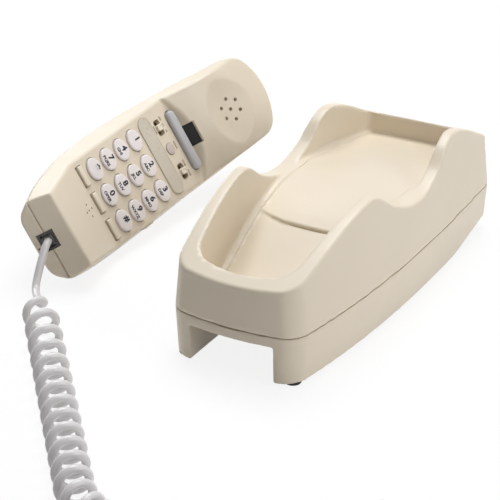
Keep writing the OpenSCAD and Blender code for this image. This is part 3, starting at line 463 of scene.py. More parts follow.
HS_L, HS_W_MOUTH, HS_W_MID, HS_W_EAR = 202.0, 45.0, 63.0, 51.0
FACE_W, FACE_H, MOUTH_H, EAR_H, BACK_D = 53.0, 11.5, 25.4, 29.0, 15.5
HS_WALL, CHEEK_LEAN, CHEEK_CUT, EAR_RISE, HS_YAW = 2.2, 30.0, 2.8, 6.0, -3.0
KEYPAD_Y, KEY_PITCH_X, KEY_PITCH_Y, KEY_W, KEY_L = 78.0, 16.3, 12.3, 12.9, 10.0
KEY_PROUD, SLIP = 1.6, 0.3
END_LEVEL, MOUTH_LEAN, EAR_LEAN, EAR_BOW, EAR_CORNER = 5.8, 30.0, 14.0, 10.0, 5.0
SEAM_GAP, SEAM_ROUND, NEAR = 0.22, 0.35, 0.93
# NEAR: a sloping surface is nearer than it is high

side_lean = (HS_W_MID - FACE_W) / 2 / (FACE_H + 6)
width_at = Curve([(0, HS_W_MOUTH / 2, 0.26), (0.17 * HS_L, HS_W_MID / 2 - 2.6, 0.13),
                  (0.39 * HS_L, HS_W_MID / 2, 0), (0.58 * HS_L, HS_W_MID / 2 - 0.7, -0.05),
                  (0.79 * HS_L, HS_W_EAR / 2 + 3, -0.1), (HS_L, HS_W_EAR / 2 - 0.8, -0.14)])
seam_at = Curve([(0, 15.5, -0.56), (0.17 * HS_L, 1.2, -0.3), (0.4 * HS_L, -6, -0.02),
                 (0.58 * HS_L, -2.6, 0.2), (0.79 * HS_L, 9.5, 0.36), (HS_L, 20, 0.2)])
back_at = Curve([(0, END_LEVEL, -0.58), (0.1 * HS_L, -4.8, -0.44), (0.2 * HS_L, -11.2, -0.22),
                 (0.4 * HS_L, -BACK_D, -0.02), (0.58 * HS_L, 3 - BACK_D, 0.18),
                 (0.79 * HS_L, -1, 0.36), (HS_L, 12.5, 0.26)])
lean_at = Curve([(0, 0.15, 0.003), (0.2 * HS_L, side_lean, 0), (0.6 * HS_L, side_lean, 0),
                 (HS_L, 0.1, -0.002)])


def side_x(y, z):
    """The side's own x at y and z."""
    return float(width_at(y) - (z - seam_at(y)) * lean_at(y))


roll = 90 - CHEEK_LEAN
cheek_y = 66.0
cheek_reach = (side_x(cheek_y, float(seam_at(cheek_y))) * cos(CHEEK_LEAN) * cos(EAR_RISE)
               - cheek_y * sin(EAR_RISE)
               - float(seam_at(cheek_y)) * sin(CHEEK_LEAN) * cos(EAR_RISE) - CHEEK_CUT)
handset_at = Vector((-82.35, -84.03, cheek_reach))
handset_turn = (Matrix.Rotation(math.radians(HS_YAW), 4, "Z")
                @ Matrix.Rotation(math.radians(EAR_RISE), 4, "X")
                @ Matrix.Rotation(math.radians(roll), 4, "Y"))
handset_pose = Matrix.Translation(handset_at * MM) @ handset_turn


def on_handset(piece):
    """Moves a mesh made in the handset's axes to where the handset lies."""
    piece.data.transform(handset_pose)
    return piece


mouth_slope_end = KEYPAD_Y - 33
arc_apex = KEYPAD_Y + 56.5
arc_r = 60.0
WALL_LEAN, WALL_FOOT = 24.0, 1.6
crown_drop = 3.0
crown_r = ((HS_W_EAR / 2) ** 2 + crown_drop ** 2) / (2 * crown_drop)
ear_hole_y = KEYPAD_Y + 88
ear_start = KEYPAD_Y + 45
dish_d, dish_depth = 33.5, 3.2
crest_y = (MOUTH_H - END_LEVEL) * math.tan(math.radians(MOUTH_LEAN))
slope_knee = (mouth_slope_end - 5, FACE_H + 2.2)
slope = (slope_knee[1] - MOUTH_H) / (slope_knee[0] - crest_y - 0.4)
face_line = Curve([(-10, MOUTH_H - slope * (crest_y + 10.4), slope), (*slope_knee, slope),
                   (mouth_slope_end + 3, FACE_H, 0), (HS_L + 10, FACE_H, 0)])
ear_line = Curve([(ear_start, FACE_H - 0.5, 0.2), (ear_start + 12, FACE_H + 3.8, 0.48),
                  (ear_start + 23, FACE_H + 9.6, 0.48), (ear_hole_y - 6, EAR_H - 3.2, 0.3),
                  (ear_hole_y + 12, EAR_H, 0.02), (HS_L + 2, EAR_H - 2, -0.12)])


def handset_field(x, y, z):
    """Below 0 inside the handset: about the distance to its surface."""
    ax = np.abs(x)
    w, seam = width_at(y), seam_at(y)
    upper = ax - w + (z - seam) * lean_at(y)
    lower = (ax - w + (seam - z) * math.tan(math.radians(CHEEK_LEAN))) * cos(CHEEK_LEAN)
    body = round_max(upper, lower, 1.2)
    body = round_max(body, back_at(y) - z, 4.0)
    end = -(y * cos(MOUTH_LEAN) - (z - END_LEVEL) * sin(MOUTH_LEAN))
    far = ((y - HS_L) * cos(EAR_LEAN) + (z - float(back_at(HS_L))) * sin(EAR_LEAN)
           + EAR_BOW * (x / (HS_W_EAR / 2)) ** 2)
    far = far / np.sqrt(1 + (2 * EAR_BOW * x / (HS_W_EAR / 2) ** 2) ** 2)
    body = round_max(body, far, EAR_CORNER)
    cheek = (x * sin(roll) * cos(EAR_RISE) - y * sin(EAR_RISE)
             - z * cos(roll) * cos(EAR_RISE) - cheek_reach)
    body = round_max(body, cheek, 0.8)
    face = round_max(z - face_line(y), z - MOUTH_H, 1.0)
    cone = ((np.hypot(x, y - arc_apex + arc_r) - arc_r - WALL_FOOT) * cos(WALL_LEAN)
            - (z - FACE_H) * sin(WALL_LEAN))
    crown = np.hypot(x, z - EAR_H + crown_r) - crown_r
    block = round_max(round_max(z - ear_line(y), crown, 2.0), -cone, 0.6)
    block = np.maximum(block, ear_start - y)
    top = round_min(face, block, 0.5)
    from_middle = (x * x + (y - ear_hole_y) ** 2) / (dish_d / 2) ** 2
    dish = z - ear_line(y) + x * x / (2 * crown_r) + dish_depth * (1 - from_middle)
    top = round_max(top, dish * NEAR, 0.3)
    body = round_max(body, top, 1.3)
    return round_max(body, end, 1.1)


def handset_half(side):
    """The field of one shell: side is 1 above the seam and -1 below it."""
    def field(x, y, z):
        solid = handset_field(x, y, z)
        past_seam = (side * (seam_at(y) - z) + SEAM_GAP) * NEAR
        return round_max(np.maximum(solid, -(solid + HS_WALL)), past_seam, SEAM_ROUND)
    return field


def key_place(i):
    """The middle of key i, in rows of three from the ear's side."""
    return ((i % 3 - 1) * KEY_PITCH_X, KEYPAD_Y + (1.5 - i // 3) * KEY_PITCH_Y)


BAR_W, BAR_L, BAR_PITCH, LIP = 12.0, 3.2, 16.6, 0.8
WINDOW_W, WINDOW_L, HOOK_W, HOOK_L, HOOK_PROUD = 48.0, 10.3, 37.5, 6.0, 3.4
ROUND_D, SLOT_W, SLOT_L, SLOT_CORNER, KNOB_W, KNOB_PROUD = 6.6, 9.8, 5.0, 1.6, 3.6, 1.6
bar_y = KEYPAD_Y - 28
window_y, switch_y, hook_y = KEYPAD_Y + 31, KEYPAD_Y + 41, KEYPAD_Y + 52.6
switch_x = (-13.8, 14.6)
ear_hole_pitch, mic_pitch = 6.6, 3.6
mic_y = mouth_slope_end - 5.5
liner_w, liner_l, liner_sunk = 13.4, 5.0, 0.6
slot_liner_y = arc_apex + 0.6
window_sunk = 1.1
slider_y, slider_z, slider_l, slider_w = KEYPAD_Y - 1.5, FACE_H - 3.6, 9.0, 3.4
slider_travel, slider_proud, slider_depth = 3.0, 0.7, 3.4
slider_x = side_x(slider_y, slider_z) + slider_proud
jack_middle, jack_cut_w, jack_cut_h = 8.6, 10.4, 10.0
PIN_HOLE_X, PIN_HOLE_Z, PIN_HOLE_W = 1.9, 1.8, 1.2
EAR_HOLE_D, MIC_HOLE_D = 2.3, 1.2
# how much wider than each part its hole in the face is, which shows as a groove
KEY_GROOVE, BAR_GROOVE_W, BAR_GROOVE_L, BAR_GROOVE_Y = 0.9, 0.8, 1.5, -0.35
WINDOW_GROOVE, WINDOW_GROOVE_Y, HOOK_GROOVE = 0.7, 0.3, 1.1
THROUGH = (6, 20)  # from under the face to above it


def on_mouth_end(mesh):
    """From the slanted end's own axes (Y inwards, Z up along it) to the handset's axes."""
    mesh.transform(Matrix.Translation((0, 0, END_LEVEL * MM))
                   @ Matrix.Rotation(math.radians(-MOUTH_LEAN), 4, "X"))
    return mesh


def box_mesh(name, low, high):
    outline = [(low[0], low[1]), (high[0], low[1]), (high[0], high[1]), (low[0], high[1])]
    return prism(name, outline, low[2], high[2])


def jack_cutter():
    return on_mouth_end(box_mesh("cut", (-jack_cut_w / 2, -2, jack_middle - jack_cut_h / 2),
                                 (jack_cut_w / 2, HS_WALL + 1.5, jack_middle + jack_cut_h / 2)))


def round_outline(d, x, y, n=36):
    return oval_outline(d, d, x, y, n)


def front_cutters():
    """Meshes of all the holes in the handset's face and of the slider's slot in its side."""
    outlines = [oval_outline(KEY_W + KEY_GROOVE, KEY_L + KEY_GROOVE, *key_place(i))
                for i in range(12)]
    outlines += [box_outline(BAR_W + BAR_GROOVE_W, BAR_L + BAR_GROOVE_L, s * BAR_PITCH,
                             bar_y + BAR_GROOVE_Y) for s in (-1, 0, 1)]
    outlines += [box_outline(SLOT_W, SLOT_L, x, switch_y, SLOT_CORNER) for x in switch_x]
    outlines.append(round_outline(ROUND_D + 2 * SLIP, 0, switch_y, 48))
    outlines.append(pill_outline(HOOK_W + HOOK_GROOVE, HOOK_L + HOOK_GROOVE, 0, hook_y))
    outlines += [round_outline(MIC_HOLE_D, x, y, 14) for x, y in [(0, mic_y)] + [
        (mic_pitch * cos(a), mic_y + mic_pitch * sin(a)) for a in (0, 90, 180, 270)]]
    cuts = [prism("cut", outline, *THROUGH) for outline in outlines]
    window = pill_outline(WINDOW_W + WINDOW_GROOVE, WINDOW_L + WINDOW_GROOVE, 0,
                          window_y + WINDOW_GROOVE_Y)
    cuts.append(prism("cut", window, FACE_H - window_sunk, THROUGH[1]))
    for x, y in [(0, ear_hole_y)] + [(ear_hole_pitch * sin(a), ear_hole_y + ear_hole_pitch * cos(a))
                                     for a in range(30, 360, 60)]:
        cuts.append(prism("cut", round_outline(EAR_HOLE_D, x, y, 20), 16, 40))
    half_l = slider_l / 2 + slider_travel + SLIP
    half_w = slider_w / 2 + SLIP
    cuts.append(box_mesh("cut", (slider_x - slider_depth, slider_y - half_l, slider_z - half_w),
                         (slider_x + 3, slider_y + half_l, slider_z + half_w)))
    return cuts


def ivory_shell(name, field, low, high, cell):
    return add_object(name, surface(name, field, low, high, cell), IVORY)


def finish_shell(piece, place, node, body):
    mesh = piece.data
    mesh.polygons.foreach_set("use_smooth", [True] * len(mesh.polygons))
    mesh.set_sharp_from_angle(angle=math.radians(SHELL_SHARP))
    place(piece)
    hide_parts(node)
    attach(piece, body)


def make_handset_shells(cell):
    low = (-HS_W_MID / 2 - 2, -6, -BACK_D - 2)
    high = (HS_W_MID / 2 + 2, HS_L + 6, EAR_H + 3)
    front = ivory_shell("handset_front_shell", handset_half(1), low, high, cell)
    cut(front, [joined_mesh("cut", front_cutters())])
    liner = box_mesh("cut", (-liner_w / 2, slot_liner_y + 0.6, FACE_H - liner_sunk),
                     (liner_w / 2, slot_liner_y + liner_l, 30))
    cut(front, [liner, jack_cutter()])
    back = ivory_shell("handset_back_shell", handset_half(-1), low, high, cell)
    half = PIN_HOLE_W / 2
    pin_hole = on_mouth_end(box_mesh("cut", (PIN_HOLE_X - half, -2, PIN_HOLE_Z - half),
                                     (PIN_HOLE_X + half, HS_WALL + 1, PIN_HOLE_Z + half)))
    cut(back, [jack_cutter(), pin_hole])
    finish_shell(front, on_handset, "handset_front", "handset")
    finish_shell(back, on_handset, "handset_back", "handset")


make_handset_shells(0.8)

# ---- base: its own axes, X across, Y from front to back, Z up from the bottom edge ----

BASE_AT = Vector((58.25, -115.43, 1.5))
BASE_L, PARTING_H, COVER_H, BASE_WALL = 222.0, 25.0, 47.0, 2.5
COVER_DRAFT, BOTTOM_DRAFT, END_LEAN = 0.11, 0.055, 0.4
W_FRONT, W_THIRD, W_TWO_THIRDS, W_BACK = 68.0, 88.0, 91.0, 84.5
RIM_BAND, RIM_END, FRONT_BULGE, BACK_BULGE = 11.0, 9.0, 4.7, 1.0
ARCH_W, ARCH_H, ARCH_DEPTH, ARCH_ROOF = 46.0, 19.5, 45.0, 1.2
STRIP_W, STRIP_H, LIP_T, LIP_OUT = 3.4, 1.3, 1.3, 1.3
half_top = (W_TWO_THIRDS + W_THIRD) / 4
base_mid = BASE_L / 2
step_y, step_bow, step_half = 0.36 * BASE_L, 7.0, 32.0
step_r = (step_half ** 2 + step_bow ** 2) / (2 * step_bow)
well_z = ARCH_H + ARCH_ROOF + SLIP + BASE_WALL
rear_rise_y, rear_rise, floor_t = 0.77 * BASE_L, 6.5, 2.5


def base_half(y):
    """Half the base's width: the cubic through its widths at each third of its length."""
    t = y / BASE_L
    return (W_FRONT * -4.5 * (t - 1 / 3) * (t - 2 / 3) * (t - 1)
            + W_THIRD * 13.5 * t * (t - 2 / 3) * (t - 1)
            - W_TWO_THIRDS * 13.5 * t * (t - 1 / 3) * (t - 1)
            + W_BACK * 4.5 * t * (t - 1 / 3) * (t - 2 / 3)) / 2


def outline_field(x, y, in_x, in_y, r_front=8.0, r_back=6.2):
    """Below 0 inside the base's outline, moved in at the sides and at the ends."""
    side = np.abs(x) - base_half(y) + in_x
    w_front = float(base_half(8.5)) - in_x
    w_back = float(base_half(BASE_L - 6.5)) - in_x
    front = in_y + FRONT_BULGE * (x / w_front) ** 2 - y
    back = y - BASE_L + in_y + BACK_BULGE * (x / w_back) ** 2
    return round_max(round_max(side, front, r_front), back, r_back)


rim_at = Curve([(k * BASE_L, PARTING_H + v * COVER_H, s) for k, v, s in (
    (0, 0.47, 0.4), (0.31, 0.985, 0.13), (0.355, 0.975, -0.36), (0.43, 0.75, -0.5),
    (0.56, 0.585, 0), (0.66, 0.72, 0.53), (0.72, 0.93, 0.5), (0.765, 1, 0), (0.86, 0.88, -0.4),
    (1, 0.585, -0.28))])
front_floor = Curve([(0, well_z, 0), (0.09 * BASE_L, well_z, 0.03), (0.2 * BASE_L, 28.5, 0.36),
                     (0.36 * BASE_L, 42.8, 0.4), (BASE_L + 10, 42.8, 0)])
rear_floor = Curve([(0.3 * BASE_L, 44, 0.1), (0.5 * BASE_L, 46.8, 0.03),
                    (0.62 * BASE_L, 46.8, -0.03), (0.76 * BASE_L, 44.4, -0.12),
                    (0.96 * BASE_L, 40, -0.08), (BASE_L + 10, 39, -0.08)])


def scaled(x, y, z, lean):
    """The outline's own x and y at z, for sides that lean in away from the parting line."""
    sx = 1 - lean * z / half_top
    sy = 1 - END_LEAN * lean * z / base_mid
    return x / sx, base_mid + (y - base_mid) / sy, sx


def floor_field(x, y, z):
    """Below 0 under the cradle's floor, with its step."""
    rear = np.maximum(z - rear_floor(y), 0.3 * BASE_L - y)
    past_edge = np.hypot(x, y - step_y - step_r) - step_r
    rear = round_max(rear, past_edge, 0.6)
    rear = np.maximum(rear, np.minimum(rear_floor(y) - LIP_T - z, past_edge + LIP_OUT))
    return round_min((z - front_floor(y)) * 0.94, rear, 0.6)


def cradle_field(x, y, z):
    """Below 0 in the cradle's hollow; a low strip runs along the foot of each side wall."""
    hollow = round_max(outline_field(x, y, RIM_BAND, RIM_END, 7.5, 3.5),
                       -floor_field(x, y, z - STRIP_H), 1.5)
    middle = round_max(outline_field(x, y, RIM_BAND + STRIP_W, RIM_END, 5.5, 1.5),
                       -floor_field(x, y, z), 0.4)
    return round_min(hollow, middle, 0.3)


def cover_body(x, y, z):
    """Below 0 inside the cover, taken as solid."""
    px, py, sx = scaled(x, y, z - PARTING_H, COVER_DRAFT)
    outer = outline_field(px, py, 0, 0) * sx
    outer = round_max(outer, (z - rim_at(y)) * NEAR, 1.0)
    return round_max(outer, -cradle_field(x, y, z), 0.8)


def cover_field(x, y, z):
    body = cover_body(x, y, z)
    shell = np.maximum(body, -(body + BASE_WALL))
    low = np.minimum(PARTING_H + 0.35 - z, cradle_field(x, y, z) - BASE_WALL - 0.05)
    return round_max(shell, low, 0.45)


def lowest_at(y):
    """The height of the base's underside, which rises towards the back."""
    return np.maximum(0, (y - rear_rise_y) / (BASE_L - rear_rise_y) * rear_rise)


def bottom_body(x, y, z):
    """Below 0 inside the bottom, taken as solid."""
    px, py, sx = scaled(x, y, PARTING_H - z, BOTTOM_DRAFT)
    outer = outline_field(px, py, 0, 0) * sx
    return round_max(outer, lowest_at(y) - z, 0.9)


def arch_field(x, y, z, wall, roof):
    """Below 0 in the arch between the front legs, made larger by wall and roof."""
    return np.maximum(round_max(np.abs(x) - ARCH_W / 2 - wall, z - ARCH_H - roof, 1.5),
                      y - ARCH_DEPTH - wall)


def bottom_field(x, y, z):
    body = bottom_body(x, y, z)
    hollow = np.maximum(body + BASE_WALL, -arch_field(x, y, z, BASE_WALL, ARCH_ROOF))
    solid = round_max(body, -arch_field(x, y, z, 0, 0), 0.8)
    return round_max(round_max(solid, z - PARTING_H + 0.2, 0.3), -hollow, 0.3)


def on_base(piece):
    """Moves a mesh made in the base's axes to where the base stands."""
    piece.data.transform(Matrix.Translation(BASE_AT * MM))
    return piece


screw_d, screw_head_d, screw_sunk, foot_d, foot_sunk = 3.0, 5.6, 12.0, 8.6, 1.0
leg_screw_y, rear_screw_y, wall_slot_y, wall_slot_pitch = 24.0, 0.8 * BASE_L, 70.0, 83.5
screw_places = [(s * (float(base_half(leg_screw_y)) - 7.5), leg_screw_y) for s in (-1, 1)]
screw_places += [(s * (float(base_half(rear_screw_y)) - 13), rear_screw_y) for s in (-1, 1)]
foot_places = [(s * (float(base_half(10)) - foot_d / 2 - 2.2), 11) for s in (-1, 1)]
foot_places += [(s * (float(base_half(rear_rise_y)) - 12), rear_rise_y - 10) for s in (-1, 1)]
jack_x, jack_w, jack_h, jack_z = 10.0, 13.4, 11.0, 5.0


def make_base_shells(cell):
    x_end, y_end = W_TWO_THIRDS / 2 + 2, BASE_L + 2
    cover = ivory_shell("base_cover_shell", cover_field, (-x_end, -2, PARTING_H - 7),
                        (x_end, y_end, PARTING_H + COVER_H + 2), cell)
    bottom = ivory_shell("base_bottom_shell", bottom_field, (-x_end, -2, -2),
                         (x_end, y_end, PARTING_H + 3), cell)
    posts = [prism("post", round_outline(8, x, y), lowest_at(y) + 1.2, PARTING_H - 4.2)
             for x, y in screw_places]
    cut(bottom, [joined_mesh("post", posts)], "UNION")
    cuts = []
    for screw_at, foot_at in zip(screw_places, foot_places):
        cuts.append(prism("cut", round_outline(screw_head_d + 0.6, *screw_at), -3, screw_sunk))
        cuts.append(prism("cut", round_outline(foot_d + 0.2, *foot_at), -3, foot_sunk))
    for y in (wall_slot_y, wall_slot_y + wall_slot_pitch):
        upright = [(-b, y + a) for a, b in pill_outline(12, 5)]
        cuts.append(prism("cut", upright, -3, floor_t + 2))
    for x in (-jack_x, jack_x):
        cuts.append(box_mesh("cut", (x - jack_w / 2, ARCH_DEPTH - 2, jack_z),
                             (x + jack_w / 2, ARCH_DEPTH + BASE_WALL + 2, jack_z + jack_h)))
    cut(bottom, [joined_mesh("cut", cuts)])
    shanks = [prism("cut", round_outline(screw_d + 0.4, x, y), screw_sunk - 1, PARTING_H)
              for x, y in screw_places]
    cut(bottom, [joined_mesh("cut", shanks)])
    finish_shell(cover, on_base, "base_cover", "base")
    finish_shell(bottom, on_base, "base_bottom", "base")


make_base_shells(1.1)

# ---- small parts ----


def level(outline, z):
    return [(x, y, z) for x, y in outline]


def cap_rings(outline, w, l, x, y, low, high, fillet, dome=0.0, steps=6):
    """Rings of a button: straight sides, a rounded edge and a slightly domed top."""
    rings = [level(outline(w, l, x, y), low)]
    for i in range(steps + 1):
        a = 90 * i / steps
        inset = 2 * fillet * (1 - cos(a))
        z = high - dome - fillet + fillet * sin(a)
        rings.append(level(outline(w - inset, l - inset, x, y), z))
    if dome:
        flat_w, flat_l = w - 2 * fillet, l - 2 * fillet
        for share in (0.8, 0.55, 0.25):
            rings.append(level(outline(flat_w * share, flat_l * share, x, y),
                               high - dome * share ** 2))
    return rings


def finish_piece(name, shape, material, node, body, place=on_handset, angle=40):
    """Makes a piece of a mesh, or of rings to loft, and says what it stands for and rides on."""
    mesh = loft(name, shape) if isinstance(shape, list) else shape
    piece = add_object(name, mesh, material, angle)
    place(piece)
    if node:
        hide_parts(node)
    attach(piece, body)
    return piece


inner_face, flange_gap, flange_t = FACE_H - HS_WALL, 0.4, 1.5
flange_low, flange_high = inner_face - flange_gap - flange_t, inner_face - flange_gap
key_top = FACE_H + KEY_PROUD
TEXT_THICK, TEXT_BOLD = 0.03, 0.042


def moved(mesh, x, y, z, turn=None):
    mesh.transform(Matrix.Translation((x * MM, y * MM, z * MM)) @ (turn or Matrix.Identity(4)))
    return mesh


def text_mesh(text, size, x, y, z):
    """Printed words or figures, as a thin solid."""
    curve = bpy.data.curves.new("figure", "FONT")
    curve.body = text
    curve.size = size * MM
    curve.align_x = "CENTER"
    curve.align_y = "CENTER"
    curve.extrude = TEXT_THICK * MM
    curve.offset = TEXT_BOLD * size * MM
    curve.resolution_u = 4
    holder = bpy.data.objects.new("figure", curve)
    scene.collection.objects.link(holder)
    graph = bpy.context.evaluated_depsgraph_get()
    mesh = bpy.data.meshes.new_from_object(holder.evaluated_get(graph))
    bpy.data.objects.remove(holder)
    bpy.data.curves.remove(curve)
    return moved(mesh, x, y, z)


def flanged(outline, w, l, x, y, high, fillet, dome=0.0, lip_x=2 * LIP, lip_y=2 * LIP, lip_at=0.0,
            steps=6):
    """Rings of a button with a flange under the shell, which keeps it in."""
    flange = outline(w + lip_x, l + lip_y, x, y + lip_at)
    return ([level(flange, z) for z in (flange_low, flange_high)]
            + cap_rings(outline, w, l, x, y, flange_high, high, fillet, dome, steps))


KEYS = (("1", ""), ("2", "ABC"), ("3", "DEF"), ("4", "GHI"), ("5", "JKL"), ("6", "MNO"),
        ("7", "PQRS"), ("8", "TUV"), ("9", "WXYZ"), ("*", ""), ("0", "OPER"), ("#", ""))
KEY_NAMES = {"*": "star", "#": "pound"}
# size and place above the key's middle
STAR_TEXT, DIGIT_TEXT, LETTER_TEXT = (7.4, 0.2), (5.4, 1.5), (2.7, -2.6)


for index, (digit, letters) in enumerate(KEYS):
    node = "key_" + KEY_NAMES.get(digit, digit)
    x, y = key_place(index)
    rings = flanged(oval_outline, KEY_W, KEY_L, x, y, key_top, 0.75, 0.12, LIP, 1.4 * LIP)
    finish_piece(node + "_cap", rings, KEY_GREY, node, node, angle=60)
    size, up = STAR_TEXT if digit == "*" else DIGIT_TEXT
    figures = [text_mesh(digit, size, x, y + up, key_top)]
    if letters:
        size, up = LETTER_TEXT
        figures.append(text_mesh(letters, size, x, y + up, key_top - TEXT_THICK))
    name = node + "_figures"
    finish_piece(name, joined_mesh(name, figures), PRINT, None, node)


def bar_box(w, l, x, y):
    return box_outline(w, l, x, y, 0.45)


for index in (-1, 0, 1):
    node = "bar_button_" + str(index + 2)
    rings = flanged(bar_box, BAR_W, BAR_L, index * BAR_PITCH, bar_y, FACE_H + 1.2, 0.7, 0.0, 0, LIP,
                    -LIP / 2)
    finish_piece(node + "_cap", rings, BAR_CREAM, node, node)

rings = flanged(oval_outline, ROUND_D, ROUND_D, 0, switch_y, FACE_H + 0.8, 0.5, 0.1)
finish_piece("round_button_cap", rings, PINK_GREY, "round_button", "round_button")

window_top = FACE_H + 0.9
rings = cap_rings(pill_outline, WINDOW_W, WINDOW_L, 0, window_y, FACE_H - window_sunk, window_top,
                  0.45)
for inset, z in ((1.9, window_top), (2.1, window_top - 0.12)):
    rings.append(level(pill_outline(WINDOW_W - inset, WINDOW_L - inset, 0, window_y), z))
finish_piece("number_window_bar", rings, WINDOW, "number_window", "handset")

rings = flanged(pill_outline, HOOK_W, HOOK_L, 0, hook_y, FACE_H + HOOK_PROUD, 1.6, 0.35, steps=8)
finish_piece("hook_bar_cap", rings, HOOK_GREY, "hook_bar", "hook_bar", angle=55)


def knob_box(w, l, x, y):
    return box_outline(w, l, x, y, 1.0)


def unmoved(piece):
    return piece


def centred_box(x, y, w, l, low, high):
    return box_mesh("cut", (x - w / 2, y - l / 2, low), (x + w / 2, y + l / 2, high))


switch_body_top = inner_face - 1
knob_top, knob_low, knob_l = FACE_H + KNOB_PROUD, FACE_H - 0.8, SLOT_L - 2 * SLIP
pocket_z, pocket_t, pocket_gap = FACE_H - 1.0, 0.9, 0.1
slit_w, slit_l, stem = 7.6, 1.8, 1.2
RIB_X, RIB_W, RIB_L, RIB_DEEP = (-4, -3, 3, 4), 0.5, 3.8, 0.25
for index, node in enumerate(("ringer_knob", "dialling_knob")):
    x = switch_x[index]
    rings = [level(box_outline(stem, stem, x, switch_y), z)
             for z in (switch_body_top + 0.3, knob_low)]
    rings += cap_rings(knob_box, KNOB_W, knob_l, x, switch_y, knob_low, knob_top, 0.35, 0.0, 4)
    for inset, z in ((1.5, knob_top), (1.6, knob_top - 0.35)):
        rings.append(level(box_outline(KNOB_W - inset, knob_l - inset + 0.4, x, switch_y), z))
    finish_piece(node + "_cap", rings, KNOB, node, node)
    name = "switch_pocket_" + str(index + 1)
    outline = box_outline(SLOT_W - pocket_gap, SLOT_L - pocket_gap, x, switch_y,
                          SLOT_CORNER - pocket_gap / 2)
    pocket = finish_piece(name, prism(name, outline, pocket_z - pocket_t, pocket_z), OLIVE_DARK,
                          None, "handset", place=unmoved)
    cuts = [centred_box(x + k, switch_y, RIB_W, RIB_L, pocket_z - RIB_DEEP, pocket_z + 1)
            for k in RIB_X]
    cuts.append(centred_box(x, switch_y, slit_w, slit_l, pocket_z - 2, pocket_z + 1))
    cut(pocket, cuts)
    on_handset(pocket)


WORD_SIZE, WORD_Y = 1.5, 4
words = [text_mesh(text, WORD_SIZE, x, switch_y + y, FACE_H) for text, x, y in (
    ("OFF", switch_x[0] - 4, WORD_Y), ("LO", switch_x[0], WORD_Y), ("HI", switch_x[0] + 4, WORD_Y),
    ("RINGER", switch_x[0], -WORD_Y), ("TONE", switch_x[1] - 3.5, WORD_Y),
    ("PULSE", switch_x[1] + 3, WORD_Y), ("REDIAL", 0, WORD_Y + 0.8))]
finish_piece("switch_words", joined_mesh("switch_words", words), WORDS, None, "handset")


def slider_mesh():
    """The volume slider: ribs across its outer face, which looks along +X."""
    ribs, plain_end, between = 5, 0.7, slider_x - 0.35
    half = slider_l / 2
    wide = (slider_l - 2 * plain_end) / ribs
    profile = [(slider_x - slider_depth, slider_y - half), (between, slider_y - half)]
    for i in range(ribs):
        start = slider_y - half + plain_end + i * wide
        profile += [(between, start + 0.1 * wide), (slider_x, start + 0.3 * wide),
                    (slider_x, start + 0.7 * wide), (between, start + 0.9 * wide)]
    profile += [(between, slider_y + half), (slider_x - slider_depth, slider_y + half)]
    return prism("slider", profile, slider_z - slider_w / 2, slider_z + slider_w / 2)


finish_piece("volume_slider_cap", slider_mesh(), KNOB, "volume_slider", "volume_slider")


def turned(name, profile, n=48):
    """A closed body turned about Z from its profile of radius and height, from low to high."""
    return loft(name, [[(r * cos(360 * i / n), r * sin(360 * i / n), z) for i in range(n)]
                       for r, z in profile])


receiver_r, receiver_t, receiver_y, receiver_top = 13.0, 7.0, ear_hole_y + 1, EAR_H - 8
r, t = receiver_r, receiver_t
can = [(8, -3), (8, 0), (r - 0.6, 0), (r, 0.5), (r, t - 0.9), (r - 0.5, t - 0.4), (r - 2, t - 0.1),
       (r - 3, t - 0.7), (5, t - 0.7), (4, t - 0.5)]
finish_piece("receiver_can", moved(turned("receiver_can", can), 0, receiver_y, receiver_top - t),
             CAN, "receiver", "handset")
mic_r, mic_low, mic_high = 4.85, 3.4, 9.2
r, t = mic_r, mic_high - mic_low
can = [(3.6, 0), (3.9, 0.3), (r - 0.4, 0.3), (r, 0.7), (r, t - 0.4), (r - 0.4, t), (1.6, t),
       (1.4, t - 0.5)]
finish_piece("microphone_can", moved(turned("microphone_can", can, 32), 0, mic_y, mic_low), CAN,
             "microphone", "handset")


def back_turn(y):
    """The turn about X that lays a part along the back shell at y."""
    rise = float(back_at(y + 1) - back_at(y - 1)) / 2
    return Matrix.Rotation(math.atan(rise), 4, "X")


ringer_y, ringer_r = KEYPAD_Y + 24, 13.5
disc = [(ringer_r - 0.6, 0), (ringer_r, 0.4), (ringer_r, 2.0), (ringer_r - 0.4, 2.3),
        (10, 2.3), (9.8, 2.9), (4, 2.9), (3.8, 2.6)]
finish_piece("ringer_plate", moved(turned("ringer_plate", disc), 0, ringer_y,
                                   float(back_at(ringer_y)) + HS_WALL + 0.9, back_turn(ringer_y)),
             BRASS, "ringer_disc", "handset")

foot = [(foot_d / 2 - 0.7, 0), (foot_d / 2 - 0.25, 0.12), (foot_d / 2, 0.6), (foot_d / 2, 2.5)]
finish_piece("base_foot_pads", joined_mesh("base_foot_pads", [
    moved(turned("foot", foot, 32), x, y, -1.5) for x, y in foot_places]),
    RUBBER, "base_feet", "base", place=on_base)

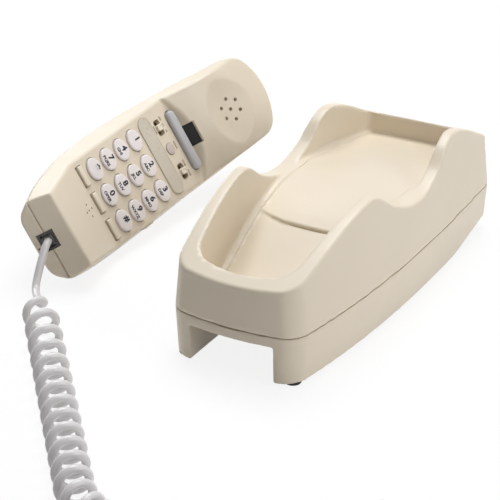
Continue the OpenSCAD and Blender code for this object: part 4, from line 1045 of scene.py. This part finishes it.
# CAD pieces that keep their own shape: a small bevel and their own material
BEVELLED = (
    (STEEL, "screw_steel", 0.15, ("base_screws", "handset_screws")),
    (STEEL, "ballast_steel", 0.4, ("base_ballast", "handset_weight")),
    (BOARD, "board", 0.1, ("base_jack_board", "circuit_board")),
    (JACK_DARK, "jack", 0.2, ("base_handset_jack", "base_line_jack", "handset_jack")),
    (BLACK_AND_SLOT_SHADE, "switch_black", 0.3, ("hook_switch",)), (MAT, "mat", 0.2, ("key_mat",)),
    (OLIVE_DARK, "switch_black", 0.2, ("switch_bodies",)),
    # the slot liner's near-black colour is painted shade: a dark sheet standing in for the shade
    # inside the slot beside the hook bar
    (BLACK_AND_SLOT_SHADE, "slot_black", 0.15, ("hook_slot_liner",)),
    (PLUG_CLEAR, "plug_clear", 0.12, ("handset_plug", "base_plug")))
for material, slot, size, node in ((*row[:3], n) for row in BEVELLED for n in row[3]):
    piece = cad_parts[node]
    piece.data.materials.clear()
    piece.data.materials.append(material)
    bevel = piece.modifiers.new("bevel", "BEVEL")
    bevel.width = size * MM
    bevel.segments = 2
    bevel.limit_method = "ANGLE"
    bevel.angle_limit = math.radians(40)


def small_parts(name, boxes, rounds, material, body, place=on_handset):
    """Parts too small for a node of their own, such as contacts and components on a board."""
    meshes = [box_mesh("part", low, high) for low, high in boxes]
    for x, y, z, r, h in rounds:
        can = turned("part", [(r - 0.1, 0), (r, 0.15), (r, h - 0.15), (r - 0.1, h)], 20)
        meshes.append(moved(can, x, y, z))
    finish_piece(name, joined_mesh(name, meshes), material, None, body, place=place)


pcb_z = 1.2
chips = [((-7, 60, pcb_z - 2.4), (7, 66, pcb_z)), ((-12, 88, pcb_z - 1.8), (-4, 93, pcb_z)),
         ((6, 84, pcb_z - 1.6), (12, 90, pcb_z)), ((-15, 112, pcb_z - 2), (-9, 118, pcb_z))]
cans = [(12, 106, pcb_z - 5.2, 2.4, 5.2), (4, 104, pcb_z - 4.2, 1.9, 4.2),
        (-4, 106, pcb_z - 5, 2.2, 5)]
small_parts("board_parts", chips, cans, BLACK_AND_SLOT_SHADE, "handset")
tracks = [((-18, y, pcb_z - 0.06), (18, y + 0.5, pcb_z))
          for y in (52, 55.5, 71, 75, 79.5, 96, 99.5, 124)]
small_parts("board_tracks", tracks, [], CONTACT, "handset")

PIN_W, PIN_PITCH, PINS = 0.45, 1.2, 4
pins = []
for jack_middle_x in (-jack_x, jack_x):
    for x in (jack_middle_x + (i - (PINS - 1) / 2) * PIN_PITCH for i in range(PINS)):
        pins.append(((x - PIN_W / 2, ARCH_DEPTH + 4, jack_z + 1.6),
                     (x + PIN_W / 2, ARCH_DEPTH + 9, jack_z + 2.1)))
small_parts("jack_contacts", pins, [], CONTACT, "base", place=on_base)

# ---- floor and light ----



def seeing_rays(tree):
    """1 for rays that see the background: from the camera, off gloss, through clear plastic."""
    path = tree.nodes.new("ShaderNodeLightPath")
    return [path.outputs["Is %s Ray" % kind] for kind in ("Camera", "Glossy", "Transmission")]


def largest(tree, value, *others):
    for other in others:
        node = tree.nodes.new("ShaderNodeMath")
        node.operation = "MAXIMUM"
        tree.links.new(value, node.inputs[0])
        tree.links.new(other, node.inputs[1])
        value = node.outputs["Value"]
    return value


FLOOR_HALF, FLOOR_Z = 3000, -0.05
floor_mesh = mesh_from("floor", [(x * FLOOR_HALF, y * FLOOR_HALF, FLOOR_Z) for x, y in (
    (-1, -1), (1, -1), (1, 1), (-1, 1))], [(0, 1, 2, 3)])
floor_material, tree, shader = new_material("pale_floor")
shade = noise(tree, 3.0, 2.0)
tree.links.new(mix_colour(tree, ramp(tree, shade, 0, 1), (0.78, 0.77, 0.755), (0.82, 0.81, 0.795)),
               shader.inputs["Base Color"])
shader.inputs["Roughness"].default_value = 0.9
shader.inputs["Specular IOR Level"].default_value = 0.0
# to the camera, and in gloss and clear plastic, it is white paper that keeps a faint shadow
glow = tree.nodes.new("ShaderNodeEmission")
glow.inputs["Strength"].default_value = 0.86
both = tree.nodes.new("ShaderNodeAddShader")
paper = tree.nodes.new("ShaderNodeBsdfDiffuse")
paper.inputs["Color"].default_value = (0.14, 0.14, 0.14, 1)
tree.links.new(glow.outputs["Emission"], both.inputs[0])
tree.links.new(paper.outputs["BSDF"], both.inputs[1])
choose = tree.nodes.new("ShaderNodeMixShader")
tree.links.new(largest(tree, *seeing_rays(tree)), choose.inputs["Fac"])
tree.links.new(shader.outputs["BSDF"], choose.inputs[1])
tree.links.new(both.outputs["Shader"], choose.inputs[2])
tree.links.new(choose.outputs["Shader"], tree.nodes["Material Output"].inputs["Surface"])
floor = add_object("floor", floor_mesh, floor_material)

world = bpy.data.worlds.new("soft_sky")
world.use_nodes = True
tree = world.node_tree
sky = tree.nodes["Background"]
coords = tree.nodes.new("ShaderNodeTexCoord")
apart = tree.nodes.new("ShaderNodeSeparateXYZ")
tree.links.new(coords.outputs["Generated"], apart.inputs["Vector"])
overhead = ramp(tree, apart.outputs["Z"], 0.0, 0.5, 0.30, 1.15)
tree.links.new(largest(tree, overhead, *seeing_rays(tree)), sky.inputs["Strength"])
sky.inputs["Color"].default_value = (1.0, 1.0, 1.0, 1)
scene.world = world


def area_light(name, at, aim, size, power):
    data = bpy.data.lights.new(name, "AREA")
    data.shape = "DISK"
    data.size = size
    data.energy = power
    light = bpy.data.objects.new(name, data)
    light.location = at
    light.rotation_mode = "QUATERNION"
    light.rotation_quaternion = (Vector(aim) - Vector(at)).to_track_quat("-Z", "Y")
    scene.collection.objects.link(light)


area_light("top_light", (-0.12, 0.40, 1.30), (0, 0, 0), 0.9, 14)
area_light("side_light", (1.25, -0.10, 0.55), (0, 0, 0.03), 0.8, 7)
area_light("rim_light", (-1.05, 0.60, 0.55), (-0.05, 0, 0.05), 0.8, 4)
